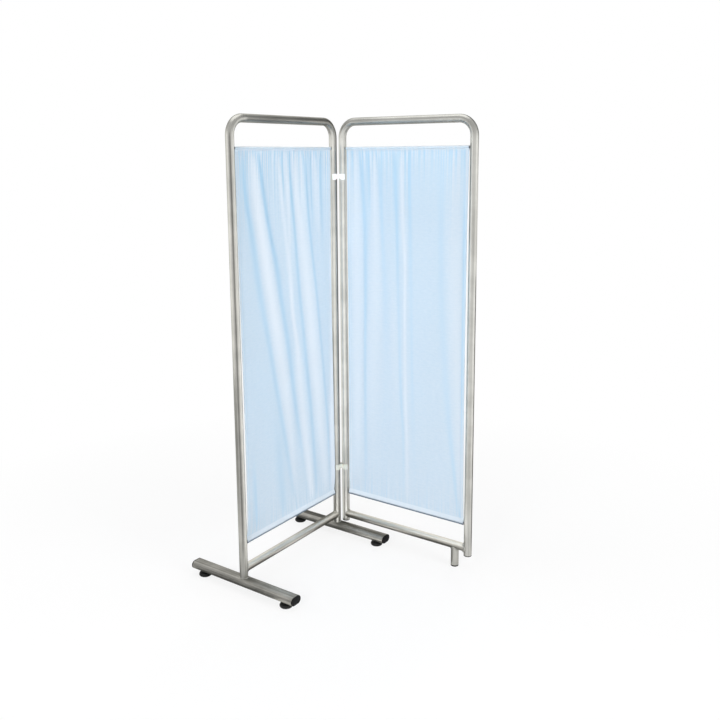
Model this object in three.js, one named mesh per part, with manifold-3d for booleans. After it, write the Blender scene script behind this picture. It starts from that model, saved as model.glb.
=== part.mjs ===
// A two-panel folding privacy screen for a hospital ward.
// The main panel stands on two foot bars, and a wing is hinged to it by two plastic
// snap-on clips. Each panel is an arch of round steel tube with a bottom rail, and its
// curtain hangs from a top rod and is held down by a bottom rod, both in hem pockets.
// Millimetres, +Z up. The main panel lies along X and the wing points along -Y.
import * as THREE from "three";
import { mergeVertices } from "three/addons/utils/BufferGeometryUtils.js";
import Module from "manifold-3d";

const wasm = await Module();
wasm.setup();

// Driving dimensions of the frames
const OVERALL_HEIGHT = 1700;
const PANEL_WIDTH = 600;
const TUBE_DIAMETER = 30;
const TUBE_WALL = 1.2;
const BEND_RADIUS = 60;
const RAIL_CLEARANCE = 18;
const WING_DEGREES = -90;

// Clearances, and how far a cutter runs past what it cuts
const SEAT_GAP = 0.3;
const RUNNING_GAP = 0.3;
const CUT_OVERRUN = 5;

// Foot bars of flat-sided oval tube, with their end caps
const FOOT_BAR_LENGTH = 480;
const FOOT_BAR_WIDTH = 50;
const FOOT_BAR_HEIGHT = 30;
const FOOT_BAR_WALL = 1.5;
const FOOT_CAP_FLANGE = 4;
const FOOT_CAP_PLUG = 14;

// Screw-in glides under the foot bars
const GLIDE_INSET = 42;
const GLIDE_HEIGHT = 20.7;
const GLIDE_DIAMETER = 48;
const GLIDE_SOLE_DIAMETER = 34;
const GLIDE_RIM_HEIGHT = 7;
const GLIDE_BODY_HEIGHT = 14;
const GLIDE_NECK_DIAMETER = 24;
const GLIDE_SOLE_THICKNESS = 5;
const GLIDE_STEM_DIAMETER = 8;
const GLIDE_STEM_LENGTH = 30;
const GLIDE_NUT_DIAMETER = 12;
const GLIDE_NUT_HEIGHT = 9;

// Bolts that hold the legs on the foot bars
const BOLT_DIAMETER = 8;
const BOLT_HEAD_DIAMETER = 18;
const BOLT_HEAD_HEIGHT = 6;
const BOLT_PAST_NUT = 2;
const LEG_NUT_HEIGHT = 20;

// Ends of the wing's legs, and the stub leg that carries its outer side
const WING_FOOT_CLEARANCE = 4;
const PLUG_FLANGE = 3;
const PLUG_DEPTH = 15;
const STUB_INSET = 55;
const STUB_FOOT_FLANGE = 5;

// Hinge clips, and the rivets that keep them at their height
const HINGE_SPACING = 38;
const CLIP_DEGREES = -45;
const CLIP_WALL = 3;
const CLIP_HEIGHT = 22;
const CLIP_JAW_REACH = 5;
const CLIP_WEB_WIDTH = 22;
const CLIP_ARCH_RADIUS = 11;
const CLIP_ARCH_RISE = 5;
const UPPER_CLIP_DROP = 109;
const LOWER_CLIP_LIFT = 113;
const RIVET_SHANK_DIAMETER = 3;
const RIVET_HEAD_DIAMETER = 5;
const RIVET_HEAD_HEIGHT = 1;

// Curtain rods and curtains
const ROD_DIAMETER = 8;
const ROD_ENTRY = 5;
const TOP_ROD_DROP = 114;
const BOTTOM_ROD_LIFT = 95;
const CURTAIN_SIDE_GAP = 4.5;
const POCKET_GAP = 0.4;
const CLOTH_THICKNESS = 2;
const FOLD_DEPTH = 9;

// Counts
const TUBE_SIDES = 20;
const BEND_STEPS = 8;
const SMALL_SIDES = 12;
const POCKET_SIDES = 12;
const CLOTH_COLUMNS = 40;
const CLOTH_ROWS = 9;

// Main folds of each curtain, as shares of its width: where the ridge is at the top,
// where it is at the bottom, its half width at the top and at the bottom, and its
// depth as a share of the fold depth. Negative ridges are valleys.
const MAIN_FOLD_SHARES = [
  [0.04, 0.1, 0.025, 0.04, 0.45],
  [0.11, 0.43, 0.04, 0.07, -0.8],
  [0.17, 0.56, 0.03, 0.06, 1.0],
  [0.26, 0.67, 0.03, 0.05, -0.75],
  [0.36, 0.72, 0.02, 0.035, 0.35],
  [0.47, 0.76, 0.025, 0.03, 0.5],
  [0.55, 0.8, 0.025, 0.03, -0.5],
  [0.64, 0.86, 0.035, 0.045, 0.85],
  [0.75, 0.92, 0.025, 0.03, -0.45],
  [0.88, 0.96, 0.03, 0.02, 0.35],
];
const WING_FOLD_SHARES = [
  [0.06, 0.06, 0.03, 0.04, 0.6],
  [0.12, 0.13, 0.02, 0.03, -0.6],
  [0.21, 0.22, 0.035, 0.05, 0.6],
  [0.28, 0.31, 0.02, 0.03, -0.35],
  [0.42, 0.43, 0.03, 0.03, -0.45],
  [0.47, 0.49, 0.015, 0.02, 0.7],
  [0.53, 0.55, 0.025, 0.03, -0.4],
  [0.7, 0.72, 0.08, 0.1, 0.25],
  [0.82, 0.86, 0.03, 0.04, -0.3],
];

// How much of its depth a fold keeps at the two rods
const HEM_FREEDOM_SHARE = 0.22;

// Sizes that follow from the ones above
const TUBE_RADIUS = TUBE_DIAMETER / 2;
const LEG_SPACING = PANEL_WIDTH - TUBE_DIAMETER;
const FOOT_BAR_UNDERSIDE = GLIDE_HEIGHT + SEAT_GAP;
const FOOT_BAR_AXIS = FOOT_BAR_UNDERSIDE + FOOT_BAR_HEIGHT / 2;
const FOOT_BAR_TOP = FOOT_BAR_UNDERSIDE + FOOT_BAR_HEIGHT;
const GLIDE_SPACING = FOOT_BAR_LENGTH - 2 * GLIDE_INSET;
const WING_LEG_END = FOOT_BAR_TOP + WING_FOOT_CLEARANCE + PLUG_FLANGE + SEAT_GAP;
const RAIL_HEIGHT = FOOT_BAR_TOP + RAIL_CLEARANCE + TUBE_RADIUS;
const TOP_ROD_HEIGHT = OVERALL_HEIGHT - TOP_ROD_DROP;
const BOTTOM_ROD_HEIGHT = RAIL_HEIGHT + BOTTOM_ROD_LIFT;
const CLIP_HEIGHTS = {
  upper: TOP_ROD_HEIGHT - UPPER_CLIP_DROP,
  lower: BOTTOM_ROD_HEIGHT + LOWER_CLIP_LIFT,
};
const POCKET_RADIUS = ROD_DIAMETER / 2 + POCKET_GAP;

const FINISHES = {
  brushedSteel: { color: 0x99968c, roughness: 0.35, metalness: 1 },
  rodSteel: { color: 0x8a8f96, roughness: 0.3, metalness: 1 },
  fastenerSteel: { color: 0x8c8c88, roughness: 0.4, metalness: 1 },
  blackPlastic: { color: 0x191919, roughness: 0.6, metalness: 0 },
  blackRubber: { color: 0x141414, roughness: 0.8, metalness: 0 },
  whitePlastic: { color: 0xf4f4f0, roughness: 0.45, metalness: 0 },
  greyPlastic: { color: 0xd6d7cf, roughness: 0.5, metalness: 0 },
  cloth: { color: 0xc5e0f5, roughness: 0.95, metalness: 0 },
};

// Booleans on closed geometries

function toSolid(geometry) {
  const bare = geometry.clone();
  bare.deleteAttribute("normal");
  bare.deleteAttribute("uv");
  const merged = mergeVertices(bare);
  return new wasm.Manifold(new wasm.Mesh({
    numProp: 3,
    vertProperties: new Float32Array(merged.attributes.position.array),
    triVerts: new Uint32Array(merged.index.array),
  }));
}

function toGeometry(solid) {
  const mesh = solid.getMesh();
  const geometry = new THREE.BufferGeometry();
  geometry.setAttribute("position", new THREE.BufferAttribute(mesh.vertProperties, 3));
  geometry.setIndex(new THREE.BufferAttribute(mesh.triVerts, 1));
  geometry.computeVertexNormals();
  return geometry;
}

function join(geometries) {
  return toGeometry(geometries.map(toSolid).reduce((whole, next) => whole.add(next)));
}

function cut(geometry, cutters) {
  return toGeometry(cutters.map(toSolid).reduce((rest, next) => rest.subtract(next), toSolid(geometry)));
}

// Shapes that several pieces share

function upright(radius, bottom, top, sides = TUBE_SIDES) {
  const height = top - bottom;
  const cylinder = new THREE.CylinderGeometry(radius, radius, height, sides);
  return cylinder.rotateX(Math.PI / 2).translate(0, 0, bottom + height / 2);
}

function crosswise(radius, start, end, sides = TUBE_SIDES) {
  const length = end - start;
  const cylinder = new THREE.CylinderGeometry(radius, radius, length, sides);
  return cylinder.rotateZ(-Math.PI / 2).translate(start + length / 2, 0, 0);
}

function turned(profile, sides = TUBE_SIDES) {
  const points = profile.map(([radius, height]) => new THREE.Vector2(radius, height));
  return new THREE.LatheGeometry(points, sides).rotateX(Math.PI / 2);
}

function ringShape(outerRadius, innerRadius) {
  const shape = new THREE.Shape().absarc(0, 0, outerRadius, 0, 2 * Math.PI);
  shape.holes.push(new THREE.Path().absarc(0, 0, innerRadius, 0, 2 * Math.PI, true));
  return shape;
}

// An oval with flat top and bottom and half-round sides, drawn in a plane across Y
function ovalOutline(outline, width, height) {
  const radius = height / 2;
  const flat = width / 2 - radius;
  outline.absarc(flat, 0, radius, -Math.PI / 2, Math.PI / 2);
  outline.absarc(-flat, 0, radius, Math.PI / 2, 1.5 * Math.PI);
  return outline;
}

function ovalBar(width, height, start, end, bore = null) {
  const shape = ovalOutline(new THREE.Shape(), width, height);
  if (bore) {
    shape.holes.push(ovalOutline(new THREE.Path(), bore.width, bore.height));
  }
  const settings = { depth: end - start, bevelEnabled: false, curveSegments: TUBE_SIDES / 4 };
  return new THREE.ExtrudeGeometry(shape, settings).rotateX(Math.PI / 2).translate(0, end, 0);
}

// A path through given stations, each a point with the direction of travel there
class StationPath extends THREE.Curve {
  constructor(stations) {
    super();
    this.stations = stations;
  }

  getUtoTmapping(u) {
    return u;
  }

  between(t, key, target) {
    const place = t * (this.stations.length - 1);
    const index = Math.min(Math.floor(place), this.stations.length - 2);
    return target.lerpVectors(this.stations[index][key], this.stations[index + 1][key], place - index);
  }

  getPoint(t, target = new THREE.Vector3()) {
    return this.between(t, "point", target);
  }

  getTangent(t, target = new THREE.Vector3()) {
    return this.between(t, "heading", target).normalize();
  }
}

// Frame tubes

function bendStations(centreX, centreZ, fromAngle, toAngle) {
  return Array.from({ length: BEND_STEPS + 1 }, (_, step) => {
    const angle = fromAngle + (toAngle - fromAngle) * step / BEND_STEPS;
    const outward = new THREE.Vector3(Math.cos(angle), 0, Math.sin(angle));
    return {
      point: outward.clone().multiplyScalar(BEND_RADIUS).add(new THREE.Vector3(centreX, 0, centreZ)),
      heading: new THREE.Vector3(Math.sin(angle), 0, -Math.cos(angle)),
    };
  });
}

function archTube(legEnd) {
  const shoulder = OVERALL_HEIGHT - TUBE_RADIUS - BEND_RADIUS;
  const path = new StationPath([
    { point: new THREE.Vector3(0, 0, legEnd), heading: new THREE.Vector3(0, 0, 1) },
    ...bendStations(BEND_RADIUS, shoulder, Math.PI, Math.PI / 2),
    ...bendStations(LEG_SPACING - BEND_RADIUS, shoulder, Math.PI / 2, 0),
    { point: new THREE.Vector3(LEG_SPACING, 0, legEnd), heading: new THREE.Vector3(0, 0, -1) },
  ]);
  return new THREE.ExtrudeGeometry(ringShape(TUBE_RADIUS, TUBE_RADIUS - TUBE_WALL), {
    steps: path.stations.length - 1,
    curveSegments: TUBE_SIDES / 2,
    extrudePath: path,
  });
}

function rodHoles() {
  return [TOP_ROD_HEIGHT, BOTTOM_ROD_HEIGHT].map((height) => (
    crosswise(ROD_DIAMETER / 2 + SEAT_GAP, 0, LEG_SPACING, SMALL_SIDES).translate(0, 0, height)));
}

function rivetHoles(legX, side) {
  const reach = TUBE_RADIUS + CUT_OVERRUN;
  const radius = RIVET_SHANK_DIAMETER / 2 + SEAT_GAP;
  return Object.values(CLIP_HEIGHTS).map((height) => (
    crosswise(radius, Math.min(0, side * reach), Math.max(0, side * reach), SMALL_SIDES)
      .translate(legX, 0, height)));
}

// The foot bar's outline, which the main legs are shaped to
function footBarSaddle() {
  const reach = TUBE_RADIUS + CUT_OVERRUN;
  return ovalBar(FOOT_BAR_WIDTH + 2 * SEAT_GAP, FOOT_BAR_HEIGHT + 2 * SEAT_GAP, -reach, reach)
    .translate(0, 0, FOOT_BAR_AXIS);
}

function mainFrame() {
  const saddles = [0, LEG_SPACING].map((x) => footBarSaddle().translate(x, 0, 0));
  return cut(archTube(FOOT_BAR_AXIS), [...saddles, ...rodHoles(), ...rivetHoles(LEG_SPACING, 1)]);
}

function wingFrame() {
  return cut(archTube(WING_LEG_END), [...rodHoles(), ...rivetHoles(0, -1)]);
}

// A rail between the two legs, its ends shaped to the round legs
function bottomRail() {
  const legs = [0, LEG_SPACING].map((x) => (
    upright(TUBE_RADIUS + SEAT_GAP, -TUBE_DIAMETER, TUBE_DIAMETER).translate(x, 0, 0)));
  const bore = crosswise(TUBE_RADIUS - TUBE_WALL, -CUT_OVERRUN, LEG_SPACING + CUT_OVERRUN);
  return cut(crosswise(TUBE_RADIUS, 0, LEG_SPACING), [bore, ...legs]).translate(0, 0, RAIL_HEIGHT);
}

// A piece of the frame tube that stands on its foot and is shaped to the rail above
function stubLeg() {
  const bottom = STUB_FOOT_FLANGE + SEAT_GAP;
  const bore = upright(TUBE_RADIUS - TUBE_WALL, bottom - CUT_OVERRUN, RAIL_HEIGHT + CUT_OVERRUN);
  const rail = crosswise(TUBE_RADIUS + SEAT_GAP, -TUBE_DIAMETER, TUBE_DIAMETER).translate(0, 0, RAIL_HEIGHT);
  return cut(upright(TUBE_RADIUS, bottom, RAIL_HEIGHT), [bore, rail]);
}

// A plug pressed up into an open tube end, its flange below
function endPlug(flange) {
  const outer = TUBE_RADIUS;
  const inner = outer - TUBE_WALL - SEAT_GAP;
  const top = flange + PLUG_DEPTH;
  const edge = TUBE_WALL / 2;
  return turned([
    [0, 0],
    [outer - edge, 0],
    [outer, edge],
    [outer, flange],
    [inner, flange],
    [inner, top],
    [0, top],
  ]);
}

// Feet of the main panel

function footBar() {
  const half = FOOT_BAR_LENGTH / 2;
  const bore = { width: FOOT_BAR_WIDTH - 2 * FOOT_BAR_WALL, height: FOOT_BAR_HEIGHT - 2 * FOOT_BAR_WALL };
  const bar = ovalBar(FOOT_BAR_WIDTH, FOOT_BAR_HEIGHT, -half, half, bore);
  const reach = FOOT_BAR_HEIGHT / 2 + CUT_OVERRUN;
  const bolt = upright(BOLT_DIAMETER / 2 + SEAT_GAP, -reach, reach, SMALL_SIDES);
  const stems = [-1, 1].map((side) => (
    upright(GLIDE_STEM_DIAMETER / 2 + RUNNING_GAP, -reach, 0, SMALL_SIDES)
      .translate(0, side * GLIDE_SPACING / 2, 0)));
  return cut(bar, [bolt, ...stems]);
}

// An end cap whose flange faces +Y, with its seat on the bar's end at Y = 0
function footCap() {
  const smaller = (inset, start, end) => (
    ovalBar(FOOT_BAR_WIDTH - 2 * inset, FOOT_BAR_HEIGHT - 2 * inset, start, end));
  const lip = FOOT_CAP_FLANGE / 4;
  const middle = FOOT_CAP_FLANGE / 2;
  const plug = smaller(FOOT_BAR_WALL + SEAT_GAP, -FOOT_CAP_PLUG, middle);
  const flange = smaller(0, SEAT_GAP, FOOT_CAP_FLANGE - lip);
  const crown = smaller(lip, middle, FOOT_CAP_FLANGE);
  return join([plug, flange, crown]);
}

function glideBase() {
  const rim = GLIDE_DIAMETER / 2;
  const sole = GLIDE_SOLE_DIAMETER / 2;
  const neck = GLIDE_NECK_DIAMETER / 2;
  const socket = GLIDE_STEM_DIAMETER / 2 + SEAT_GAP;
  const roundedSide = [0, 1, 2, 3].map((step) => {
    const angle = step * Math.PI / 6;
    return [sole + (rim - sole) * Math.sin(angle), GLIDE_RIM_HEIGHT * (1 - Math.cos(angle))];
  });
  return turned([
    [0, 0],
    ...roundedSide,
    [rim - (rim - neck) / 4, GLIDE_BODY_HEIGHT],
    [neck, GLIDE_BODY_HEIGHT],
    [neck, GLIDE_HEIGHT],
    [socket, GLIDE_HEIGHT],
    [socket, GLIDE_SOLE_THICKNESS],
    [0, GLIDE_SOLE_THICKNESS],
  ]);
}

function glideStem() {
  const bottom = GLIDE_SOLE_THICKNESS + SEAT_GAP;
  return upright(GLIDE_STEM_DIAMETER / 2, bottom, bottom + GLIDE_STEM_LENGTH, SMALL_SIDES);
}

// A round upright nut, bored right through
function roundNut(radius, boreRadius, bottom, height, sides) {
  const top = bottom + height;
  const bore = upright(boreRadius, bottom - CUT_OVERRUN, top + CUT_OVERRUN, SMALL_SIDES);
  return cut(upright(radius, bottom, top, sides), [bore]);
}

// A weld nut on the inner floor of the foot bar
function glideNut() {
  const floor = FOOT_BAR_UNDERSIDE + FOOT_BAR_WALL + SEAT_GAP;
  const bore = GLIDE_STEM_DIAMETER / 2 + RUNNING_GAP;
  return roundNut(GLIDE_NUT_DIAMETER / 2, bore, floor, GLIDE_NUT_HEIGHT, SMALL_SIDES);
}

// A threaded plug in the bottom of a main leg
function legNut() {
  const radius = TUBE_RADIUS - TUBE_WALL - SEAT_GAP;
  const bore = BOLT_DIAMETER / 2 + SEAT_GAP;
  return roundNut(radius, bore, FOOT_BAR_TOP + SEAT_GAP, LEG_NUT_HEIGHT, TUBE_SIDES);
}

// A round-headed bolt that comes up through the foot bar into the leg nut
function footBolt() {
  const shank = BOLT_DIAMETER / 2;
  const head = BOLT_HEAD_DIAMETER / 2;
  const seat = FOOT_BAR_UNDERSIDE - SEAT_GAP;
  const tip = FOOT_BAR_TOP + LEG_NUT_HEIGHT + BOLT_PAST_NUT;
  const dome = [0, 1, 2, 3].map((step) => {
    const angle = step * Math.PI / 6;
    return [head * Math.sin(angle), seat - BOLT_HEAD_HEIGHT * Math.cos(angle)];
  });
  return turned([...dome, [shank, seat], [shank, tip], [0, tip]], SMALL_SIDES);
}

// Hinge clips

// Two open jaws back to back, snapped on the hinge legs, the main leg's axis at the origin
function hingeClip() {
  const half = CLIP_HEIGHT / 2;
  const bore = TUBE_RADIUS + RUNNING_GAP;
  const groove = TUBE_RADIUS + SEAT_GAP + RIVET_HEAD_HEIGHT + 2 * RUNNING_GAP;
  const grooveHalf = RIVET_HEAD_DIAMETER / 2 + SEAT_GAP;
  const axes = [0, HINGE_SPACING];
  const collars = axes.map((x) => upright(bore + CLIP_WALL, -half, half).translate(x, 0, 0));
  const web = new THREE.BoxGeometry(HINGE_SPACING, CLIP_WEB_WIDTH, CLIP_HEIGHT);
  web.translate(HINGE_SPACING / 2, 0, 0);
  const bores = axes.map((x) => (
    upright(bore, -half - CUT_OVERRUN, half + CUT_OVERRUN).translate(x, 0, 0)));
  const grooves = axes.map((x) => upright(groove, -grooveHalf, grooveHalf).translate(x, 0, 0));
  const reach = bore + CLIP_WALL + CUT_OVERRUN;
  const mouth = new THREE.BoxGeometry(reach, 2 * reach, CLIP_HEIGHT + 2 * CUT_OVERRUN);
  const mouths = [-CLIP_JAW_REACH - reach / 2, HINGE_SPACING + CLIP_JAW_REACH + reach / 2].map((x) => (
    mouth.clone().translate(x, 0, 0)));
  const arch = crosswise(CLIP_ARCH_RADIUS, -reach, reach)
    .rotateZ(Math.PI / 2)
    .translate(HINGE_SPACING / 2, 0, CLIP_ARCH_RISE - half - CLIP_ARCH_RADIUS);
  return cut(join([...collars, web]), [...bores, ...grooves, ...mouths, arch]);
}

// A rivet in a leg's wall, its head running in the clip's groove, pointing along +X
function clipRivet() {
  const shank = RIVET_SHANK_DIAMETER / 2;
  const head = RIVET_HEAD_DIAMETER / 2;
  const seat = TUBE_RADIUS + SEAT_GAP;
  const tail = TUBE_RADIUS - TUBE_WALL - 2 * RIVET_HEAD_HEIGHT;
  return turned([
    [0, tail],
    [shank + SEAT_GAP, tail],
    [shank, tail + RIVET_HEAD_HEIGHT],
    [shank, seat],
    [head, seat],
    [shank, seat + RIVET_HEAD_HEIGHT],
    [0, seat + RIVET_HEAD_HEIGHT],
  ], SMALL_SIDES).rotateY(Math.PI / 2);
}

// Curtains

function curtainRod(height) {
  const end = TUBE_RADIUS - TUBE_WALL - ROD_ENTRY;
  return crosswise(ROD_DIAMETER / 2, end, LEG_SPACING - end, SMALL_SIDES).translate(0, 0, height);
}

// How far the cloth stands off the panel's plane, from shares across and down
function foldOffset(across, down, foldShares) {
  const freedom = HEM_FREEDOM_SHARE + (1 - HEM_FREEDOM_SHARE) * Math.sqrt(Math.sin(Math.PI * down));
  const ridges = foldShares.map(([top, bottom, topWidth, bottomWidth, depth]) => {
    const centre = top + (bottom - top) * down;
    const width = topWidth + (bottomWidth - topWidth) * down;
    return depth * Math.exp(-(((across - centre) / width) ** 2));
  });
  return FOLD_DEPTH * freedom * ridges.reduce((sum, ridge) => sum + ridge, 0);
}

function clothPositions(width, top, bottom, foldShares) {
  const positions = [];
  for (const side of [1, -1]) {
    for (let row = 0; row <= CLOTH_ROWS; row += 1) {
      for (let column = 0; column <= CLOTH_COLUMNS; column += 1) {
        const across = column / CLOTH_COLUMNS;
        const down = row / CLOTH_ROWS;
        const offset = foldOffset(across, down, foldShares) + side * CLOTH_THICKNESS / 2;
        positions.push(across * width, offset, top + (bottom - top) * down);
      }
    }
  }
  return positions;
}

// Two faces and a rim that close a grid of cloth into one thin solid
function clothFaces() {
  const stride = CLOTH_COLUMNS + 1;
  const sheet = stride * (CLOTH_ROWS + 1);
  const faces = [];
  const quad = (a, b, c, d) => faces.push(a, b, c, b, d, c);
  for (let row = 0; row < CLOTH_ROWS; row += 1) {
    for (let column = 0; column < CLOTH_COLUMNS; column += 1) {
      const front = row * stride + column;
      const back = front + sheet;
      quad(front, front + 1, front + stride, front + stride + 1);
      quad(back + 1, back, back + stride + 1, back + stride);
    }
  }
  for (let column = 0; column < CLOTH_COLUMNS; column += 1) {
    const last = CLOTH_ROWS * stride + column;
    quad(column + sheet, column + sheet + 1, column, column + 1);
    quad(last, last + 1, last + sheet, last + sheet + 1);
  }
  for (let row = 0; row < CLOTH_ROWS; row += 1) {
    const left = row * stride;
    const right = left + CLOTH_COLUMNS;
    quad(left + sheet, left, left + sheet + stride, left + stride);
    quad(right, right + sheet, right + stride, right + sheet + stride);
  }
  return faces;
}

function hemPocket(width, height) {
  const section = ringShape(POCKET_RADIUS + CLOTH_THICKNESS, POCKET_RADIUS);
  const settings = { depth: width, bevelEnabled: false, curveSegments: POCKET_SIDES / 2 };
  return new THREE.ExtrudeGeometry(section, settings).rotateY(Math.PI / 2).translate(0, 0, height);
}

function curtain(foldShares) {
  const width = LEG_SPACING - TUBE_DIAMETER - 2 * CURTAIN_SIDE_GAP;
  const seam = POCKET_RADIUS + CLOTH_THICKNESS / 2;
  const sheet = new THREE.BufferGeometry();
  const positions = clothPositions(width, TOP_ROD_HEIGHT - seam, BOTTOM_ROD_HEIGHT + seam, foldShares);
  sheet.setAttribute("position", new THREE.Float32BufferAttribute(positions, 3));
  sheet.setIndex(clothFaces());
  const pockets = [TOP_ROD_HEIGHT, BOTTOM_ROD_HEIGHT].map((height) => hemPocket(width, height));
  return join([sheet, ...pockets]).translate(TUBE_RADIUS + CURTAIN_SIDE_GAP, 0, 0);
}

// Assembly

function piece(name, geometry, finish) {
  const mesh = new THREE.Mesh(geometry, new THREE.MeshStandardMaterial(FINISHES[finish]));
  mesh.name = name;
  return mesh;
}

function placed(object, x, y, z) {
  object.position.set(x, y, z);
  return object;
}

function curtainPieces(panel, foldShares) {
  return [
    piece(`${panel}_top_rod`, curtainRod(TOP_ROD_HEIGHT), "rodSteel"),
    piece(`${panel}_bottom_rod`, curtainRod(BOTTOM_ROD_HEIGHT), "rodSteel"),
    piece(`${panel}_curtain`, curtain(foldShares), "cloth"),
  ];
}

function footAssembly(name) {
  const foot = new THREE.Group();
  foot.add(placed(piece(`${name}_foot_bar`, footBar(), "brushedSteel"), 0, 0, FOOT_BAR_AXIS));
  foot.add(piece(`${name}_leg_nut`, legNut(), "fastenerSteel"));
  foot.add(piece(`${name}_foot_bolt`, footBolt(), "fastenerSteel"));
  for (const [end, side] of [["front", -1], ["rear", 1]]) {
    const cap = piece(`${name}_${end}_foot_cap`, footCap(), "blackPlastic");
    cap.rotation.z = side > 0 ? 0 : Math.PI;
    foot.add(placed(cap, 0, side * FOOT_BAR_LENGTH / 2, FOOT_BAR_AXIS));
    const glideY = side * GLIDE_SPACING / 2;
    foot.add(placed(piece(`${name}_${end}_glide`, glideBase(), "blackRubber"), 0, glideY, 0));
    foot.add(placed(piece(`${name}_${end}_glide_stem`, glideStem(), "fastenerSteel"), 0, glideY, 0));
    foot.add(placed(piece(`${name}_${end}_glide_nut`, glideNut(), "fastenerSteel"), 0, glideY, 0));
  }
  return foot;
}

function clipRivets(panel, legX, side) {
  return Object.entries(CLIP_HEIGHTS).map(([level, height]) => {
    const rivet = piece(`${panel}_${level}_clip_rivet`, clipRivet(), "fastenerSteel");
    rivet.rotation.z = side > 0 ? 0 : Math.PI;
    return placed(rivet, legX, 0, height);
  });
}

function mainPanel() {
  const panel = new THREE.Group();
  panel.add(piece("main_frame_tube", mainFrame(), "brushedSteel"));
  panel.add(piece("main_bottom_rail", bottomRail(), "brushedSteel"));
  panel.add(...curtainPieces("main", MAIN_FOLD_SHARES));
  panel.add(...clipRivets("main", LEG_SPACING, 1));
  panel.add(placed(footAssembly("outer"), 0, 0, 0));
  panel.add(placed(footAssembly("inner"), LEG_SPACING, 0, 0));
  return panel;
}

function wingPanel() {
  const panel = new THREE.Group();
  const stubX = LEG_SPACING - STUB_INSET;
  const plugBottom = WING_LEG_END - SEAT_GAP - PLUG_FLANGE;
  const plug = () => endPlug(PLUG_FLANGE);
  panel.add(piece("wing_frame_tube", wingFrame(), "brushedSteel"));
  panel.add(piece("wing_bottom_rail", bottomRail(), "brushedSteel"));
  panel.add(...curtainPieces("wing", WING_FOLD_SHARES));
  panel.add(...clipRivets("wing", 0, -1));
  panel.add(placed(piece("wing_inner_leg_plug", plug(), "blackPlastic"), 0, 0, plugBottom));
  panel.add(placed(piece("wing_outer_leg_plug", plug(), "blackPlastic"), LEG_SPACING, 0, plugBottom));
  panel.add(placed(piece("wing_stub_leg", stubLeg(), "brushedSteel"), stubX, 0, 0));
  const stubFoot = piece("wing_stub_foot", endPlug(STUB_FOOT_FLANGE), "blackRubber");
  panel.add(placed(stubFoot, stubX, 0, 0));
  return panel;
}

function hingeClips() {
  const clips = new THREE.Group();
  const upper = piece("upper_hinge_clip", hingeClip(), "whitePlastic");
  const lower = piece("lower_hinge_clip", hingeClip(), "greyPlastic");
  clips.add(placed(upper, 0, 0, CLIP_HEIGHTS.upper), placed(lower, 0, 0, CLIP_HEIGHTS.lower));
  clips.rotation.z = THREE.MathUtils.degToRad(CLIP_DEGREES);
  return clips;
}

// The screen, its origin under the middle of its box on the floor
function screen() {
  const whole = new THREE.Group();
  const clipAngle = THREE.MathUtils.degToRad(CLIP_DEGREES);
  const wing = wingPanel();
  wing.rotation.z = THREE.MathUtils.degToRad(WING_DEGREES);
  whole.add(mainPanel());
  whole.add(placed(hingeClips(), LEG_SPACING, 0, 0));
  const wingX = LEG_SPACING + HINGE_SPACING * Math.cos(clipAngle);
  whole.add(placed(wing, wingX, HINGE_SPACING * Math.sin(clipAngle), 0));
  const bounds = new THREE.Box3().setFromObject(whole, true);
  const centre = bounds.getCenter(new THREE.Vector3());
  return placed(whole, -centre.x, -centre.y, -bounds.min.z);
}

export default screen();
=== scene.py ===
"""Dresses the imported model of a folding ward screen: two arches of steel tube with light blue curtains.

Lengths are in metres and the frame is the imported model's own. Each panel has its own upright plane: x runs
along the panel from its first leg, y goes through it to the back, z is up. A grid is an array of points, rows
by columns by 3.
"""
import logging
import math
from dataclasses import dataclass
from enum import Enum

import bmesh
import bpy
import numpy as np
from mathutils import Matrix, Vector


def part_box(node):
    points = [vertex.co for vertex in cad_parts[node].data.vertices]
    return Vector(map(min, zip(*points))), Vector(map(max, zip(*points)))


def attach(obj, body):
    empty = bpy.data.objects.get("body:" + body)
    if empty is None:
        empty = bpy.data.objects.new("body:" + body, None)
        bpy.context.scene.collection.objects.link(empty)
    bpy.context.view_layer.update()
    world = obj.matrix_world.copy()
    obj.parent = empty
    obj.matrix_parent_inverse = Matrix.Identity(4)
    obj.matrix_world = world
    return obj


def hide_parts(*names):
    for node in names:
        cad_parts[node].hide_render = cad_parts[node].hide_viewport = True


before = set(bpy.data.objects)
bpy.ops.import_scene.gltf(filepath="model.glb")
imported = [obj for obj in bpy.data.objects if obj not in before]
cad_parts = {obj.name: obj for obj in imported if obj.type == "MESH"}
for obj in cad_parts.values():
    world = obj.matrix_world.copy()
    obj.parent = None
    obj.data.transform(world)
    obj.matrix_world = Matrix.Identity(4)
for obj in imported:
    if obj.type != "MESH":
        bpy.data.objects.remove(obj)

Array = np.ndarray
Pair = tuple[float, float]
Triple = tuple[float, float, float]
Strip = tuple[tuple[float, float, float, float], ...]
Material = bpy.types.Material
Object = bpy.types.Object
Socket = bpy.types.NodeSocket

LOG = logging.getLogger("ward_screen")
ROUND, HALF_TURN, QUARTER = 2.0 * math.pi, math.pi, math.pi / 2


class Slot(Enum):
    """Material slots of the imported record."""

    TUBE = "steel_tube"
    ROD = "steel_rod"
    FASTENER = "fastener_steel"
    CAP = "black_plastic"
    RUBBER = "black_rubber"
    WHITE_CLIP = "white_plastic"
    GREY_CLIP = "grey_plastic"
    CLOTH = "blue_cloth"


class Body(Enum):
    """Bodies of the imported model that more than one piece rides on."""

    MAIN = "main_panel"
    WING = "wing_panel"
    CLIPS = "hinge_clips"


# Points and faces


def box_of(node: str) -> tuple[Array, Array]:
    """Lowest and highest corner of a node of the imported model."""
    low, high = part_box(node)
    return np.array(low), np.array(high)


def middle_of(node: str) -> Array:
    """Middle of a node's box: half the sum of its two corners."""
    return sum(box_of(node)) / 2.0


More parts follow.
